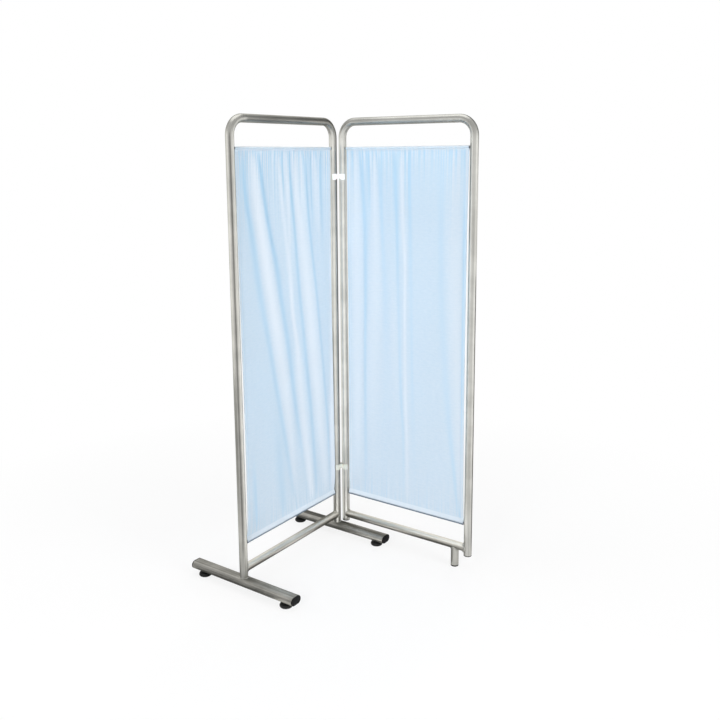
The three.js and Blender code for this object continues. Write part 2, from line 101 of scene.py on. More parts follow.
def smooth_step(t: Array) -> Array:
    """Eases from 0 to 1: three times t squared less twice t cubed, with t held to 0..1."""
    held = np.clip(t, 0.0, 1.0)
    return held * held * (3.0 - 2.0 * held)


def half_chord(radius: float, away: Array) -> Array:
    """Half the chord of a circle at a distance from its middle: the root of radius squared less that squared."""
    return np.sqrt(np.clip(radius * radius - away * away, 0.0, None))


def stacked(*axes: Array | float) -> Array:
    """Coordinates of matching shapes, put together on a last axis."""
    return np.stack(np.broadcast_arrays(*axes), axis=-1)


def grid_quads(rows: int, columns: int) -> Array:
    """Faces of a grid kept row by row, four point numbers each: a point, the next, and the two below."""
    first = (np.arange(rows - 1)[:, None] * columns + np.arange(columns - 1)).reshape(-1, 1)
    return first + np.array([0, 1, columns + 1, columns])


def along_rows(grid: Array) -> Array:
    """Distance walked down each column of a grid: the running sum of its steps' lengths."""
    steps = np.linalg.norm(np.diff(grid, axis=0), axis=-1)
    return np.concatenate([np.zeros((1, grid.shape[1])), np.cumsum(steps, axis=0)])


def flat_places(grid: Array) -> Array:
    """A flat pair for each point of a grid: distance along its row, then distance down its column."""
    across = along_rows(grid.transpose(1, 0, 2)).T
    return stacked(across, along_rows(grid)).reshape(-1, 2)


@dataclass
class PanelSpace:
    """The upright plane of one panel.

    Attributes:
        origin: Where the panel's first leg stands.
        turn: How far the panel is turned about the vertical, in radians.
        body: The body its pieces ride on.
        name: The start of its pieces' names.
    """

    origin: Array
    turn: float
    body: str
    name: str

    def placed(self, points: Array) -> Array:
        """Turns points of the panel's space about the vertical and moves them to its first leg.

        Args:
            points: Any array whose last axis is x, y, z.

        Returns:
            The same points in the model's frame.
        """
        cosine, sine = math.cos(self.turn), math.sin(self.turn)
        x, y, z = np.moveaxis(points, -1, 0)
        return stacked(self.origin[0] + cosine * x - sine * y, self.origin[1] + sine * x + cosine * y, z)


@dataclass
class Piece:
    """One finished piece of the screen, made of grids whose borders meet.

    Attributes:
        name: The piece's name.
        grids: Its grids of points.
        space: The space of the points, or None where they are in the model's frame already.
        crease_degrees: Angle past which an edge stays sharp.
        join_within: Distance within which points become one.
    """

    name: str
    grids: list[Array]
    space: PanelSpace | None = None
    crease_degrees: float = 38.0
    join_within: float = 2e-6

    def build(self) -> Object:
        """Makes the mesh, joins the grids' borders, points the faces outwards and shades it.

        Returns:
            The piece's object, at the origin.
        """
        starts = np.cumsum([0] + [grid.shape[0] * grid.shape[1] for grid in self.grids])
        points = np.concatenate([grid.reshape(-1, 3) for grid in self.grids])
        faces = np.concatenate([grid_quads(*grid.shape[:2]) + start for grid, start in zip(self.grids, starts)])
        flat = np.concatenate([flat_places(grid) for grid in self.grids])
        if self.space is not None:
            points = self.space.placed(points)
        mesh = bpy.data.meshes.new(self.name)
        mesh.from_pydata(points.tolist(), [], faces.tolist())
        mesh.uv_layers.new(name="FlatMap").data.foreach_set("uv", flat[faces.ravel()].astype(np.float32).ravel())
        shell = bmesh.new()
        shell.from_mesh(mesh)
        bmesh.ops.remove_doubles(shell, verts=shell.verts, dist=self.join_within)
        bmesh.ops.recalc_face_normals(shell, faces=shell.faces)
        shell.to_mesh(mesh)
        shell.free()
        mesh.polygons.foreach_set("use_smooth", np.ones(len(mesh.polygons), dtype=bool))
        mesh.set_sharp_from_angle(angle=math.radians(self.crease_degrees))
        piece = bpy.data.objects.new(self.name, mesh)
        bpy.context.scene.collection.objects.link(piece)
        return piece


# Finishes


@dataclass
class NodeSketch:
    """The node tree of a material or a world, with short calls to add and join nodes.

    Attributes:
        owner: The material or the world.
    """

    owner: Material | bpy.types.World

    def __post_init__(self) -> None:
        """Finds the tree, and the shader and the output that it starts with."""
        self.owner.use_nodes = True
        self.tree = self.owner.node_tree
        of_world = isinstance(self.owner, bpy.types.World)
        names = ("Background", "World Output") if of_world else ("Principled BSDF", "Material Output")
        self.shader, self.output = (self.tree.nodes[name] for name in names)

    def feed(self, target: Socket, value: object) -> None:
        """Joins a socket to an input, or sets the input to a constant.

        Args:
            target: The input.
            value: A socket, a number or three numbers.
        """
        if isinstance(value, Socket):
            self.tree.links.new(value, target)
        else:
            target.default_value = (*value, 1.0) if target.type == "RGBA" else value

    def node(self, kind: str, inputs: dict[str | int, object] | None = None, **settings: object) -> bpy.types.Node:
        """Adds a node.

        Args:
            kind: The node's type, without the words that all shader nodes start with.
            inputs: What each input is fed with.
            settings: Attributes of the node.

        Returns:
            The new node.
        """
        made = self.tree.nodes.new(f"ShaderNode{kind}")
        for key, value in settings.items():
            setattr(made, key, value)
        for key, value in (inputs or {}).items():
            self.feed(made.inputs[key], value)
        return made

    def shade(self, **values: object) -> None:
        """Feeds inputs of the tree's own shader, spaces in their names written as underscores."""
        for key, value in values.items():
            self.feed(self.shader.inputs[key.replace("_", " ")], value)

    def surface(self, shader: Socket) -> None:
        """Joins a shader to the output."""
        self.feed(self.output.inputs["Surface"], shader)

    def mix_surface(self, share: Socket | float, first: Socket, second: Socket) -> None:
        """Joins two shaders to the output, blended by a share: 0 is all the first."""
        self.surface(self.node("MixShader", {0: share, 1: first, 2: second}).outputs["Shader"])

    def place(self, scale: Triple, flat: bool = False) -> Socket:
        """Where the surface is, in metres, on the piece's flat map or on the object.

        Args:
            scale: Repeats per metre in each direction.
            flat: Whether to read the flat map.

        Returns:
            A vector socket.
        """
        if flat:
            source = self.node("UVMap", uv_map="FlatMap").outputs["UV"]
        else:
            source = self.node("TexCoord").outputs["Object"]
        return self.node("Mapping", {"Vector": source, "Scale": scale}).outputs["Vector"]

    def noise(self, scale: Triple, detail: float = 2.0, roughness: float = 0.5, flat: bool = False) -> Socket:
        """Noise from 0 to 1, by repeats per metre each way, and by number and strength of its finer layers."""
        inputs = {"Vector": self.place(scale, flat), "Scale": 1.0, "Detail": detail, "Roughness": roughness}
        return self.node("TexNoise", inputs).outputs["Fac"]

    def between(self, value: Socket, low: float, high: float, start: float = 0.0, end: float = 1.0) -> Socket:
        """Takes a value from the range start to end over to the range low to high, and holds it there."""
        inputs = {"Value": value, "From Min": start, "From Max": end, "To Min": low, "To Max": high}
        return self.node("MapRange", inputs).outputs["Result"]

    def combine(self, operation: str, first: Socket | float, second: Socket | float) -> Socket:
        """One sum of two values, by the operation's name in Blender."""
        return self.node("Math", {0: first, 1: second}, operation=operation).outputs["Value"]

    def blend(self, share: Socket, first: Socket | Triple, second: Socket | Triple) -> Socket:
        """Blends two colours by a share: 0 gives the first.

        Args:
            share: The second colour's share.
            first: A colour or a colour socket.
            second: A colour or a colour socket.

        Returns:
            A colour socket.
        """
        mix = self.node("Mix", {"Factor": share}, data_type="RGBA")
        for socket, value in zip((socket for socket in mix.inputs if socket.type == "RGBA"), (first, second)):
            self.feed(socket, value)
        return next(socket for socket in mix.outputs if socket.type == "RGBA")

    def bump(self, height: Socket, distance: float, strength: float) -> None:
        """Raises the shader's surface by a height from 0 to 1, where 1 is a distance in metres."""
        raised = self.node("Bump", {"Strength": strength, "Distance": distance, "Height": height})
        self.shade(Normal=raised.outputs["Normal"])


@dataclass(frozen=True)
class SatinSteel:
    """Satin steel with brush lines that run round the tube, faint mottling, a darker edge colour and, where asked,
    painted shade by height.

    Attributes:
        name: The material's name.
        pale: Colour of the lighter patches.
        deep: Colour of the darker patches.
        edge: Colour of what is mirrored at a grazing angle.
        roughness: Lowest and highest roughness.
        brushed: Whether brush lines follow the piece's flat map.
        painted_shade_shares: Shares of the colour below and above the turn, painted shade where less than 1.
        turn: Heights between which one tone goes over to the other.
        mottling: Repeats of the mottling per metre, each way.
        streaks: Repeats of the wide streaks on the flat map.
        lines: Repeats of the brush lines on the flat map.
        grit: Repeats of the grain where nothing is brushed.
        relief: Height of the lines or the grain.
    """

    name: str
    pale: Triple = (0.52, 0.514, 0.478)
    deep: Triple = (0.4, 0.396, 0.368)
    edge: Triple = (0.45, 0.446, 0.415)
    roughness: Pair = (0.3, 0.4)
    brushed: bool = True
    painted_shade_shares: Pair = (1.0, 1.0)
    turn: Pair = (0.084, 0.094)
    mottling: Triple = (9.0, 9.0, 14.0)
    streaks: Triple = (170.0, 2.5, 1.0)
    lines: Triple = (90.0, 3200.0, 1.0)
    grit: float = 900.0
    relief: float = 0.00001

    def build(self) -> Material:
        """Makes the material: noise stretched round the tube for the brush lines, wide noise for the mottling.

        Returns:
            The material.
        """
        sketch = NodeSketch(bpy.data.materials.new(self.name))
        mottling = sketch.noise(self.mottling, 3.0, 0.55)
        if self.brushed:
            streaks = sketch.noise(self.streaks, flat=True)
            mottling = sketch.combine("MULTIPLY", sketch.combine("ADD", mottling, streaks), 0.5)
            lines = sketch.noise(self.lines, 2.0, 0.6, flat=True)
        else:
            lines = sketch.noise((self.grit,) * 3, 2.0, 0.6)
        colour = sketch.blend(sketch.between(mottling, 0.0, 1.0, 0.4, 0.6), self.deep, self.pale)
        # Painted shade: darker below or above a height, standing in for darker reflections there.
        if self.painted_shade_shares != (1.0, 1.0):
            split = sketch.node("SeparateXYZ", {"Vector": sketch.place((1.0, 1.0, 1.0))})
            share = sketch.between(split.outputs["Z"], *self.painted_shade_shares, *self.turn)
            colour = sketch.node("VectorMath", {0: colour, "Scale": share}, operation="SCALE").outputs[0]
        rough = sketch.between(lines, *self.roughness, 0.3, 0.7)
        sketch.shade(Metallic=1.0, Specular_Tint=self.edge, Base_Color=colour, Roughness=rough)
        sketch.bump(lines, self.relief, 0.3)
        return sketch.owner


@dataclass(frozen=True)
class MouldedPlastic:
    """Moulded plastic or rubber with a fine grain and slight unevenness of gloss.

    Attributes:
        name: The material's name.
        colour: Its colour.
        worn: Colour of its slightly paler patches.
        roughness: Lowest and highest roughness.
        grain: Repeats of the grain per metre.
        relief: Height of the grain.
        softness: Share of light that spreads under the surface.
        spread: How far that light spreads.
        gloss: Strength of its mirrored light, 0.5 for plain plastic.
        patches: Repeats of its patches per metre.
    """

    name: str
    colour: Triple
    worn: Triple
    roughness: Pair
    grain: float = 1500.0
    relief: float = 0.00004
    softness: float = 0.0
    spread: float = 0.003
    gloss: float = 0.5
    patches: float = 40.0

    def build(self) -> Material:
        """Makes the material: fine noise for the grain, wide noise for gloss and colour.

        Returns:
            The material.
        """
        sketch = NodeSketch(bpy.data.materials.new(self.name))
        wide = sketch.noise((self.patches,) * 3, 3.0)
        colour = sketch.blend(sketch.between(wide, 0.0, 1.0, 0.4, 0.75), self.colour, self.worn)
        rough = sketch.between(wide, *self.roughness, 0.3, 0.7)
        sketch.shade(IOR=1.49, Specular_IOR_Level=self.gloss, Base_Color=colour, Roughness=rough)
        if self.softness > 0.0:
            sketch.shade(Subsurface_Weight=self.softness, Subsurface_Scale=self.spread)
        sketch.bump(sketch.noise((self.grain,) * 3, 1.0), self.relief, 0.5)
        return sketch.owner


@dataclass(frozen=True)
class CurtainCloth:
    """Thin plain-woven curtain cloth that lets some light through, with light and shade painted into its colour on
    its folds and by its rods.

    Attributes:
        name: The material's name.
        single: Colour of one layer.
        uneven: Shares of that colour where the threads are thin and where they are thick.
        raised: Painted highlight: colour on the flank of a fold that the light falls on.
        painted_shaded_flank: Painted shade: colour on the flank that lies in the fold's own shade.
        double_and_lit_top: Colour where a hem doubles it, also laid on the sleeve's top over the upper rod as a
            painted highlight.
        shade: Painted shade, where the lower steel rod shows dark through one layer.
        waves: Threads per metre, in the wave texture's measure.
        wobble: How far the threads stray from straight.
        warp: Repeats of the uneven upright threads on the flat map.
        weft: Repeats of the uneven level threads on the flat map.
        crinkle: Repeats of the small crinkles on the flat map.
        relief: Height of the threads.
        through: Share of the light that comes through from behind.
    """

    name: str = "light_blue_curtain_cloth"
    single: Triple = (0.63, 0.727, 0.814)
    uneven: tuple[Triple, Triple] = ((0.955, 0.975, 0.985), (1.04, 1.02, 1.01))
    raised: Triple = (0.705, 0.755, 0.81)
    painted_shaded_flank: Triple = (0.465, 0.685, 0.845)
    double_and_lit_top: Triple = (0.745, 0.817, 0.885)
    shade: Triple = (0.1, 0.15, 0.21)
    waves: float = 1300.0 / 3.14159
    wobble: float = 0.6
    warp: Triple = (700.0, 9.0, 1.0)
    weft: Triple = (12.0, 800.0, 1.0)
    crinkle: Triple = (55.0, 150.0, 1.0)
    relief: float = 0.00012
    through: float = 0.22

    def build(self) -> Material:
        """Makes the material: crossed wave lines for the weave, long noise for uneven threads.

        The mesh's own values "layers", "rod" and "fold" say where the cloth is doubled or painted paler, where the
        lower rod's painted shade falls, and how it leans: 1 on a flank towards the light, -1 on a flank away from
        it. From the lean the material paints a highlight on flanks towards the light and shade on those away from
        it.

        Returns:
            The material.
        """
        sketch = NodeSketch(bpy.data.materials.new(self.name))
        flat = sketch.place((1.0, 1.0, 1.0), flat=True)
        wave = {"Vector": flat, "Scale": self.waves, "Distortion": self.wobble}
        lines = [sketch.node("TexWave", wave, wave_type="BANDS", bands_direction=way, wave_profile="SIN")
                 .outputs["Fac"] for way in ("X", "Y")]
        sketch.bump(sketch.combine("MULTIPLY", sketch.combine("ADD", *lines), 0.5), self.relief, 0.3)
        long_threads = [sketch.noise(scale, flat=True) for scale in (self.warp, self.weft)]
        crinkle = sketch.between(sketch.noise(self.crinkle, 3.0, 0.6, flat=True), -0.6, 0.6, 0.3, 0.7)
        slubs = sketch.combine("ADD", sketch.combine("ADD", *long_threads), crinkle)
        doubled, rod, fold = (sketch.node("Attribute", attribute_name=name).outputs["Fac"]
                              for name in ("layers_and_lit_top", "rod", "fold"))
        thin, thick = (tuple(part * share for part, share in zip(self.single, shares)) for shares in self.uneven)
        plain = sketch.blend(sketch.between(slubs, 0.0, 1.0, 0.4, 1.6), thin, thick)
        # Painted shade on fold flanks turned from the light, and a painted highlight on flanks turned to it.
        plain = sketch.blend(sketch.between(fold, 0.0, 1.0, 0.0, -1.0), plain, self.painted_shaded_flank)
        plain = sketch.blend(sketch.between(fold, 0.0, 1.0), plain, self.raised)
        # Doubled colour on hems, also a painted highlight on the sleeve's top; then painted shade where the lower
        # rod shows through.
        colour = sketch.blend(rod, sketch.blend(doubled, plain, self.double_and_lit_top), self.shade)
        sketch.shade(Roughness=0.88, Sheen_Weight=0.25, Sheen_Roughness=0.5, Base_Color=colour)
        behind = sketch.node("BsdfTranslucent", {"Color": colour})
        sketch.mix_surface(self.through, sketch.shader.outputs["BSDF"], behind.outputs["BSDF"])
        return sketch.owner


class FinishShelf:
    """Every finish of the screen, made once and kept under its slot or its piece's own name."""

    def __init__(self) -> None:
        """Makes the finishes."""
        black, rough, bend = (0.006, 0.006, 0.0062), (0.32, 0.41), (1.61, 1.66)
        recipes = {
            Slot.TUBE: SatinSteel("satin_tube_steel"),
            Slot.ROD: SatinSteel("drawn_rod_steel", (0.36, 0.37, 0.39), (0.3, 0.31, 0.33)),
            Slot.FASTENER: SatinSteel("plated_fastener_steel", (0.46, 0.46, 0.45), (0.36, 0.36, 0.35),
                                      brushed=False),
            Slot.CAP: MouldedPlastic("black_cap_plastic", black, (0.011, 0.011, 0.012), (0.5, 0.62), gloss=0.06),
            Slot.RUBBER: MouldedPlastic("black_glide_rubber", (0.006, 0.006, 0.006), (0.012, 0.012, 0.012),
                                        (0.42, 0.6), 900.0, 0.00006, gloss=0.25),
            Slot.WHITE_CLIP: MouldedPlastic("white_clip_plastic", (0.9, 0.9, 0.89), (0.82, 0.82, 0.8),
                                            (0.32, 0.45), softness=0.15),
            Slot.GREY_CLIP: MouldedPlastic("grey_clip_plastic", (0.64, 0.65, 0.59), (0.55, 0.56, 0.5),
                                           (0.35, 0.5), softness=0.1),
            Slot.CLOTH: CurtainCloth(),
            # Painted light and shade: foot bars, rails and arches get darker, lighter or part-darkened copies of
            # the tube steel, for how light and reflections fall on them.
            "foot_bar": SatinSteel("shaded_bar_steel", (0.37, 0.36, 0.33), (0.19, 0.186, 0.17),
                                   roughness=(0.4, 0.52)),
            "rail": SatinSteel("lit_and_shaded_rail_steel", (0.76, 0.735, 0.67), (0.6, 0.58, 0.52), roughness=rough,
                               painted_shade_shares=(0.39, 1.0)),
            "main_arch": SatinSteel("top_shaded_main_arch_steel", painted_shade_shares=(1.0, 0.72), turn=bend),
            "wing_arch": SatinSteel("lit_top_shaded_wing_arch_steel", (0.59, 0.586, 0.55), (0.455, 0.451, 0.423),
                                    painted_shade_shares=(1.0, 0.68), turn=bend),
        }
        self.materials = {key: recipe.build() for key, recipe in recipes.items()}

    def dress(self, piece: Object, slot: Slot, own: str = "") -> None:
        """Gives a new piece its finish: its own, or else its slot's.

        Args:
            piece: The object to dress.
            slot: The record's slot.
            own: Name of a finish of its own, or nothing for the slot's.
        """
        piece.data.materials.clear()
        piece.data.materials.append(self.materials[own or slot])

    def dress_node(self, node: Object, slot: Slot) -> None:
        """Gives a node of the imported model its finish, in its object's own slots.

        Args:
            node: The node's object.
            slot: The slot whose finish it gets.
        """
        for held in node.material_slots:
            held.link = "OBJECT"
            held.material = self.materials[slot]


# Shapes that pieces share


def ring_points(radius: float, sides: int) -> tuple[Array, Array]:
    """Points round a circle, the last on the first: the radius times cosine and sine of each step's angle."""
    angle = np.linspace(0.0, ROUND, sides + 1)
    return radius * np.cos(angle), radius * np.sin(angle)


def lathe(profile: list[Pair], centre: Array, sides: int = 48) -> Array:
    """A profile turned about an upright axis: x and y are the radius times cosine and sine of the angle.

    Args:
        profile: Pairs of radius and height.
        centre: Where the axis stands; its height is added to the profile's.
        sides: Steps round the axis.

    Returns:
        One closed grid.
    """
    radius, height = np.array(profile).T[:, :, None]
    cosine, sine = ring_points(1.0, sides)
    return stacked(centre[0] + radius * cosine, centre[1] + radius * sine, centre[2] + height)


def rounded(profile: list[Pair], radius: float, steps: int = 4, most: float = 0.45) -> list[Pair]:
    """Rounds the inner corners of a profile with a curve through points either side of each corner.

    Each corner is replaced by a quadratic curve: (1-t) squared times the point before it, twice t(1-t)
    times the corner, and t squared times the point after it.

    Args:
        profile: Pairs of radius and height.
        radius: How far from a corner its rounding starts.
        steps: Steps in each rounding.
        most: Share of a side that a rounding takes up at the most.

    Returns:
        The rounded profile.
    """
    points = np.array(profile, dtype=float)
    t = np.linspace(0.0, 1.0, steps + 1)[:, None]
    parts = [points[:1]]
    for before, corner, after in zip(points[:-2], points[1:-1], points[2:]):
        sides = before - corner, after - corner
        lengths = [np.linalg.norm(side) for side in sides]
        start, end = (corner + side * (min(radius, most * length) / max(length, 1e-9))
                      for side, length in zip(sides, lengths))
        parts.append((1 - t) ** 2 * start + 2 * t * (1 - t) * corner + t * t * end)
    parts.append(points[-1:])
    return [tuple(point) for point in np.concatenate(parts)]


def walled(outer: Array, inner: Array) -> Array:
    """A tube's wall from two skins of rings: along the outside, over the end and back along the inside."""
    return np.concatenate([outer, inner[::-1], outer[:1]])


def oval(width: float, height: float, steps: int = 16) -> tuple[Array, Array]:
    """Outline of an oval with flat top and bottom and half-round sides, the last point on the first.

    Args:
        width: Its whole width.
        height: Its whole height, twice the radius of the sides.
        steps: Steps in each half-round side.

    Returns:
        Across and up, for each point: radius times cosine and sine, moved out by half the flat part.
    """
    radius, flat = height / 2.0, (width - height) / 2.0
    right = np.linspace(-QUARTER, QUARTER, steps + 1)
    left = right + HALF_TURN
    across = np.concatenate([flat + radius * np.cos(right), -flat + radius * np.cos(left), [flat]])
    return across, np.concatenate([radius * np.sin(right), radius * np.sin(left), [-radius]])


def bead_along(path: Array, side: Array, radius: float, ripple: float, ripple_length: float = 0.0016,
               sides: int = 10) -> Array:
    """A round weld bead along a closed path, its radius rippling by a sine.

    Args:
        path: Points of the path, the last on the first.
        side: A direction for each point that isn't along the path.
        radius: The bead's radius.
        ripple: Share of the radius that the ripple adds and takes.
        ripple_length: Length of one ripple along the path.
        sides: Steps round the bead.

    Returns:
        One closed grid: path point plus radius times cosine and sine of the angle on two axes across the path.
    """
    ahead = np.roll(path[:-1], -1, axis=0) - np.roll(path[:-1], 1, axis=0)
    ahead = np.concatenate([ahead, ahead[:1]])
    ahead /= np.linalg.norm(ahead, axis=1, keepdims=True)
    first = side - (side * ahead).sum(1, keepdims=True) * ahead
    first /= np.linalg.norm(first, axis=1, keepdims=True)
    second = np.cross(ahead, first)
    walked = along_rows(path[:, None])[:, 0]
    turns = max(1, round(walked[-1] / ripple_length))
    size = radius * (1.0 + ripple * np.sin(ROUND * turns * walked / walked[-1]))
    cosine, sine = ring_points(1.0, sides)
    across = size[:, None, None] * (first[:, None] * cosine[:, None] + second[:, None] * sine[:, None])
    return path[:, None] + across


# Frames of round tube


@dataclass
class TubeSizes:
    """Sizes of the tubes and their welds, the tubes' as in the part's source.

    Attributes:
        radius: Outer radius of the round tube.
        wall: Thickness of its wall.
        bend_radius: Radius of the arch's bends, to the tube's axis.
        bar_width: Width of a foot bar.
        bar_height: Its height.
        bar_wall: Thickness of its wall.
        gap: Gap between parts that a weld joins or that are pressed together.
        bead: Radius of a weld bead.
        ripple: Share of that radius that the bead's ripple adds and takes.
        sides: Steps round a tube.
        bend_steps: Steps in each bend.
        weld_steps: Steps along a weld bead.
    """

    radius: float = 0.015
    wall: float = 0.0012
    bend_radius: float = 0.06
    bar_width: float = 0.05
    bar_height: float = 0.03
    bar_wall: float = 0.0015
    gap: float = 0.0003
    bead: float = 0.0021
    ripple: float = 0.14
    sides: int = 56
    bend_steps: int = 16
    weld_steps: int = 96

    @property
    def radii(self) -> Pair:
        """Outer and inner radius of the round tube."""
        return self.radius, self.radius - self.wall


@dataclass
class TubeFrame:
    """One panel's arch and rail: two legs and a top bar bent from one tube, and a straight rail between the legs.

    Attributes:
        space: The panel's space.
        spacing: Distance between the legs' axes.
        top: Height of the arch.
        rail_height: Height of the rail's axis.
        leg_end: Height of the legs' lower ends.
        bar_axis: Height of the foot bars' axis, or None for legs that are cut off straight.
        sizes: Sizes of the tubes.
        beads: Radius of the weld bead at the rail's first and last end.
        rail_ripple: Ripple of those beads.
        weld_gap: How far outside the leg the middle of those beads lies.
        leg_step: Height over a leg's end where its rings are level again.
        inset: Length of the rail's ends whose rings are bent to the legs.
    """

    space: PanelSpace
    spacing: float
    top: float
    rail_height: float
    leg_end: float
    bar_axis: float | None
    sizes: TubeSizes
    beads: Pair = (0.0021, 0.0021)
    rail_ripple: float = 0.1
    weld_gap: float = 0.0006
    leg_step: float = 0.004
    inset: float = 0.03

    def stations(self) -> tuple[Array, Array]:
        """Centres and outward directions along the arch, in its own plane.

        The bends are quarter circles: their centres plus the bend radius times cosine and sine of the angle.

        Returns:
            Pairs of x and z for each station, and unit vectors across the tube.
        """
        bend, steps, last = self.sizes.bend_radius, self.sizes.bend_steps, self.spacing
        shoulder = self.top - self.sizes.radius - bend
        angle = np.concatenate([np.linspace(HALF_TURN, QUARTER, steps + 1), np.linspace(QUARTER, 0.0, steps + 1)])
        middle = np.repeat([bend, last - bend], steps + 1)
        outward = stacked(np.cos(angle), np.sin(angle))
        centres = stacked(middle, shoulder) + bend * outward
        foot = self.leg_end if self.bar_axis is None else self.sizes.bar_height / 2 + self.bar_axis
        low = foot + self.leg_step
        return (np.concatenate([[[0.0, self.leg_end], [0.0, low]], centres, [[last, low], [last, self.leg_end]]]),
                np.concatenate([[[-1.0, 0.0]] * 2, outward, [[1.0, 0.0]] * 2]))

    def skin(self, radius: float) -> Array:
        """Rings of the arch at a radius: centre plus radius times cosine outwards and sine through the panel.

        Args:
            radius: The skin's radius.

        Returns:
            One grid. Its ends are shaped to the foot bars where there are any.
        """
        centres, outward = self.stations()
        cosine, sine = ring_points(radius, self.sizes.sides)
        x = centres[:, :1] + outward[:, :1] * cosine
        z = centres[:, 1:] + outward[:, 1:] * cosine
        if self.bar_axis is not None:
            z[[0, -1]] = self.bar_surface(x[0]), self.bar_surface(x[-1] - self.spacing)
        return stacked(x, sine, z)

    def bar_surface(self, x: Array) -> Array:
        """Height of a leg's end on a foot bar: flat in the middle, a half circle beyond it, and a gap over both.

        Args:
            x: Distances from the bar's middle.

        Returns:
            A height for each.
        """
        half = self.sizes.bar_height / 2
        past = np.clip(np.abs(x) - (self.sizes.bar_width / 2 - half), 0.0, None)
        return self.bar_axis + half_chord(half, past) + self.sizes.gap

    def rail_skin(self, radius: float) -> Array:
        """Rings of the rail, its ends shaped to the legs: there x is half the leg's chord at the ring's y.

        Args:
            radius: The skin's radius.

        Returns:
            One grid.
        """
        cosine, sine = ring_points(radius, self.sizes.sides)
        reach = half_chord(self.sizes.radius + self.sizes.gap, sine)
        level = np.full_like(reach, self.inset)
        x = np.stack([reach, level, self.spacing - level, self.spacing - reach])
        return stacked(x, sine, self.rail_height + cosine)

    def arch(self) -> Piece:
        """The bent tube, walled and open at its ends."""
        return Piece(f"{self.space.name}_arch", [walled(*map(self.skin, self.sizes.radii))], self.space)

    def rail(self) -> Piece:
        """The straight rail between the legs."""
        return Piece(f"{self.space.name}_rail", [walled(*map(self.rail_skin, self.sizes.radii))], self.space)

    def rail_welds(self) -> Piece:
        """Weld beads round both ends of the rail, along the line where it meets the legs.

        Returns:
            The two beads.
        """
        radius = self.sizes.radius
        cosine, sine = ring_points(radius, self.sizes.weld_steps)
        reach = half_chord(radius + self.weld_gap, sine)
        beads = []
        for x, way, bead in ((reach, 1.0, self.beads[0]), (self.spacing - reach, -1.0, self.beads[1])):
            path, side = stacked(x, sine, self.rail_height + cosine), stacked(way, sine / radius, cosine / radius)
            beads.append(bead_along(path, side, bead, self.rail_ripple))
        return Piece(f"{self.space.name}_rail_welds", beads, self.space)

    def foot_welds(self) -> Piece:
        """Weld beads where the two legs meet their foot bars.

        Returns:
            The two beads.
        """
        cosine, sine = ring_points(self.sizes.radius, self.sizes.weld_steps)
        paths = [stacked(leg + cosine, sine, self.bar_surface(cosine)) for leg in (0.0, self.spacing)]
        side = stacked(cosine, sine, 0.0)
        beads = [bead_along(path, side, self.sizes.bead, self.sizes.ripple) for path in paths]
        return Piece(f"{self.space.name}_foot_welds", beads, self.space)


@dataclass
class CurtainRods:
    """The two rods that a curtain hangs on.

    Attributes:
        space: The panel's space.
        first: Where the rods start along the panel.
        last: Where they end.
        heights: Heights of their axes, by "top" and "bottom".
        radius: Their radius.
        edge: Width of the chamfer on their ends.
        sides: Steps round a rod.
    """

    space: PanelSpace
    first: float
    last: float
    heights: dict[str, float]
    radius: float = 0.004
    edge: float = 0.0006
    sides: int = 28

    def pieces(self) -> dict[str, Piece]:
        """Both rods: a chamfered profile turned about its axis, and the axis laid along the panel.

        Returns:
            Pieces under "top" and "bottom".
        """
        core, first, last = self.radius - self.edge, self.first, self.last
        profile = [(0.0, first), (core, first), (self.radius, first + self.edge), (self.radius, last - self.edge),
                   (core, last), (0.0, last)]
        y, z, x = np.moveaxis(lathe(profile, np.zeros(3), self.sides), -1, 0)
        return {level: Piece(f"{self.space.name}_{level}_curtain_rod", [stacked(x, y, height + z)], self.space)
                for level, height in self.heights.items()}


# Feet


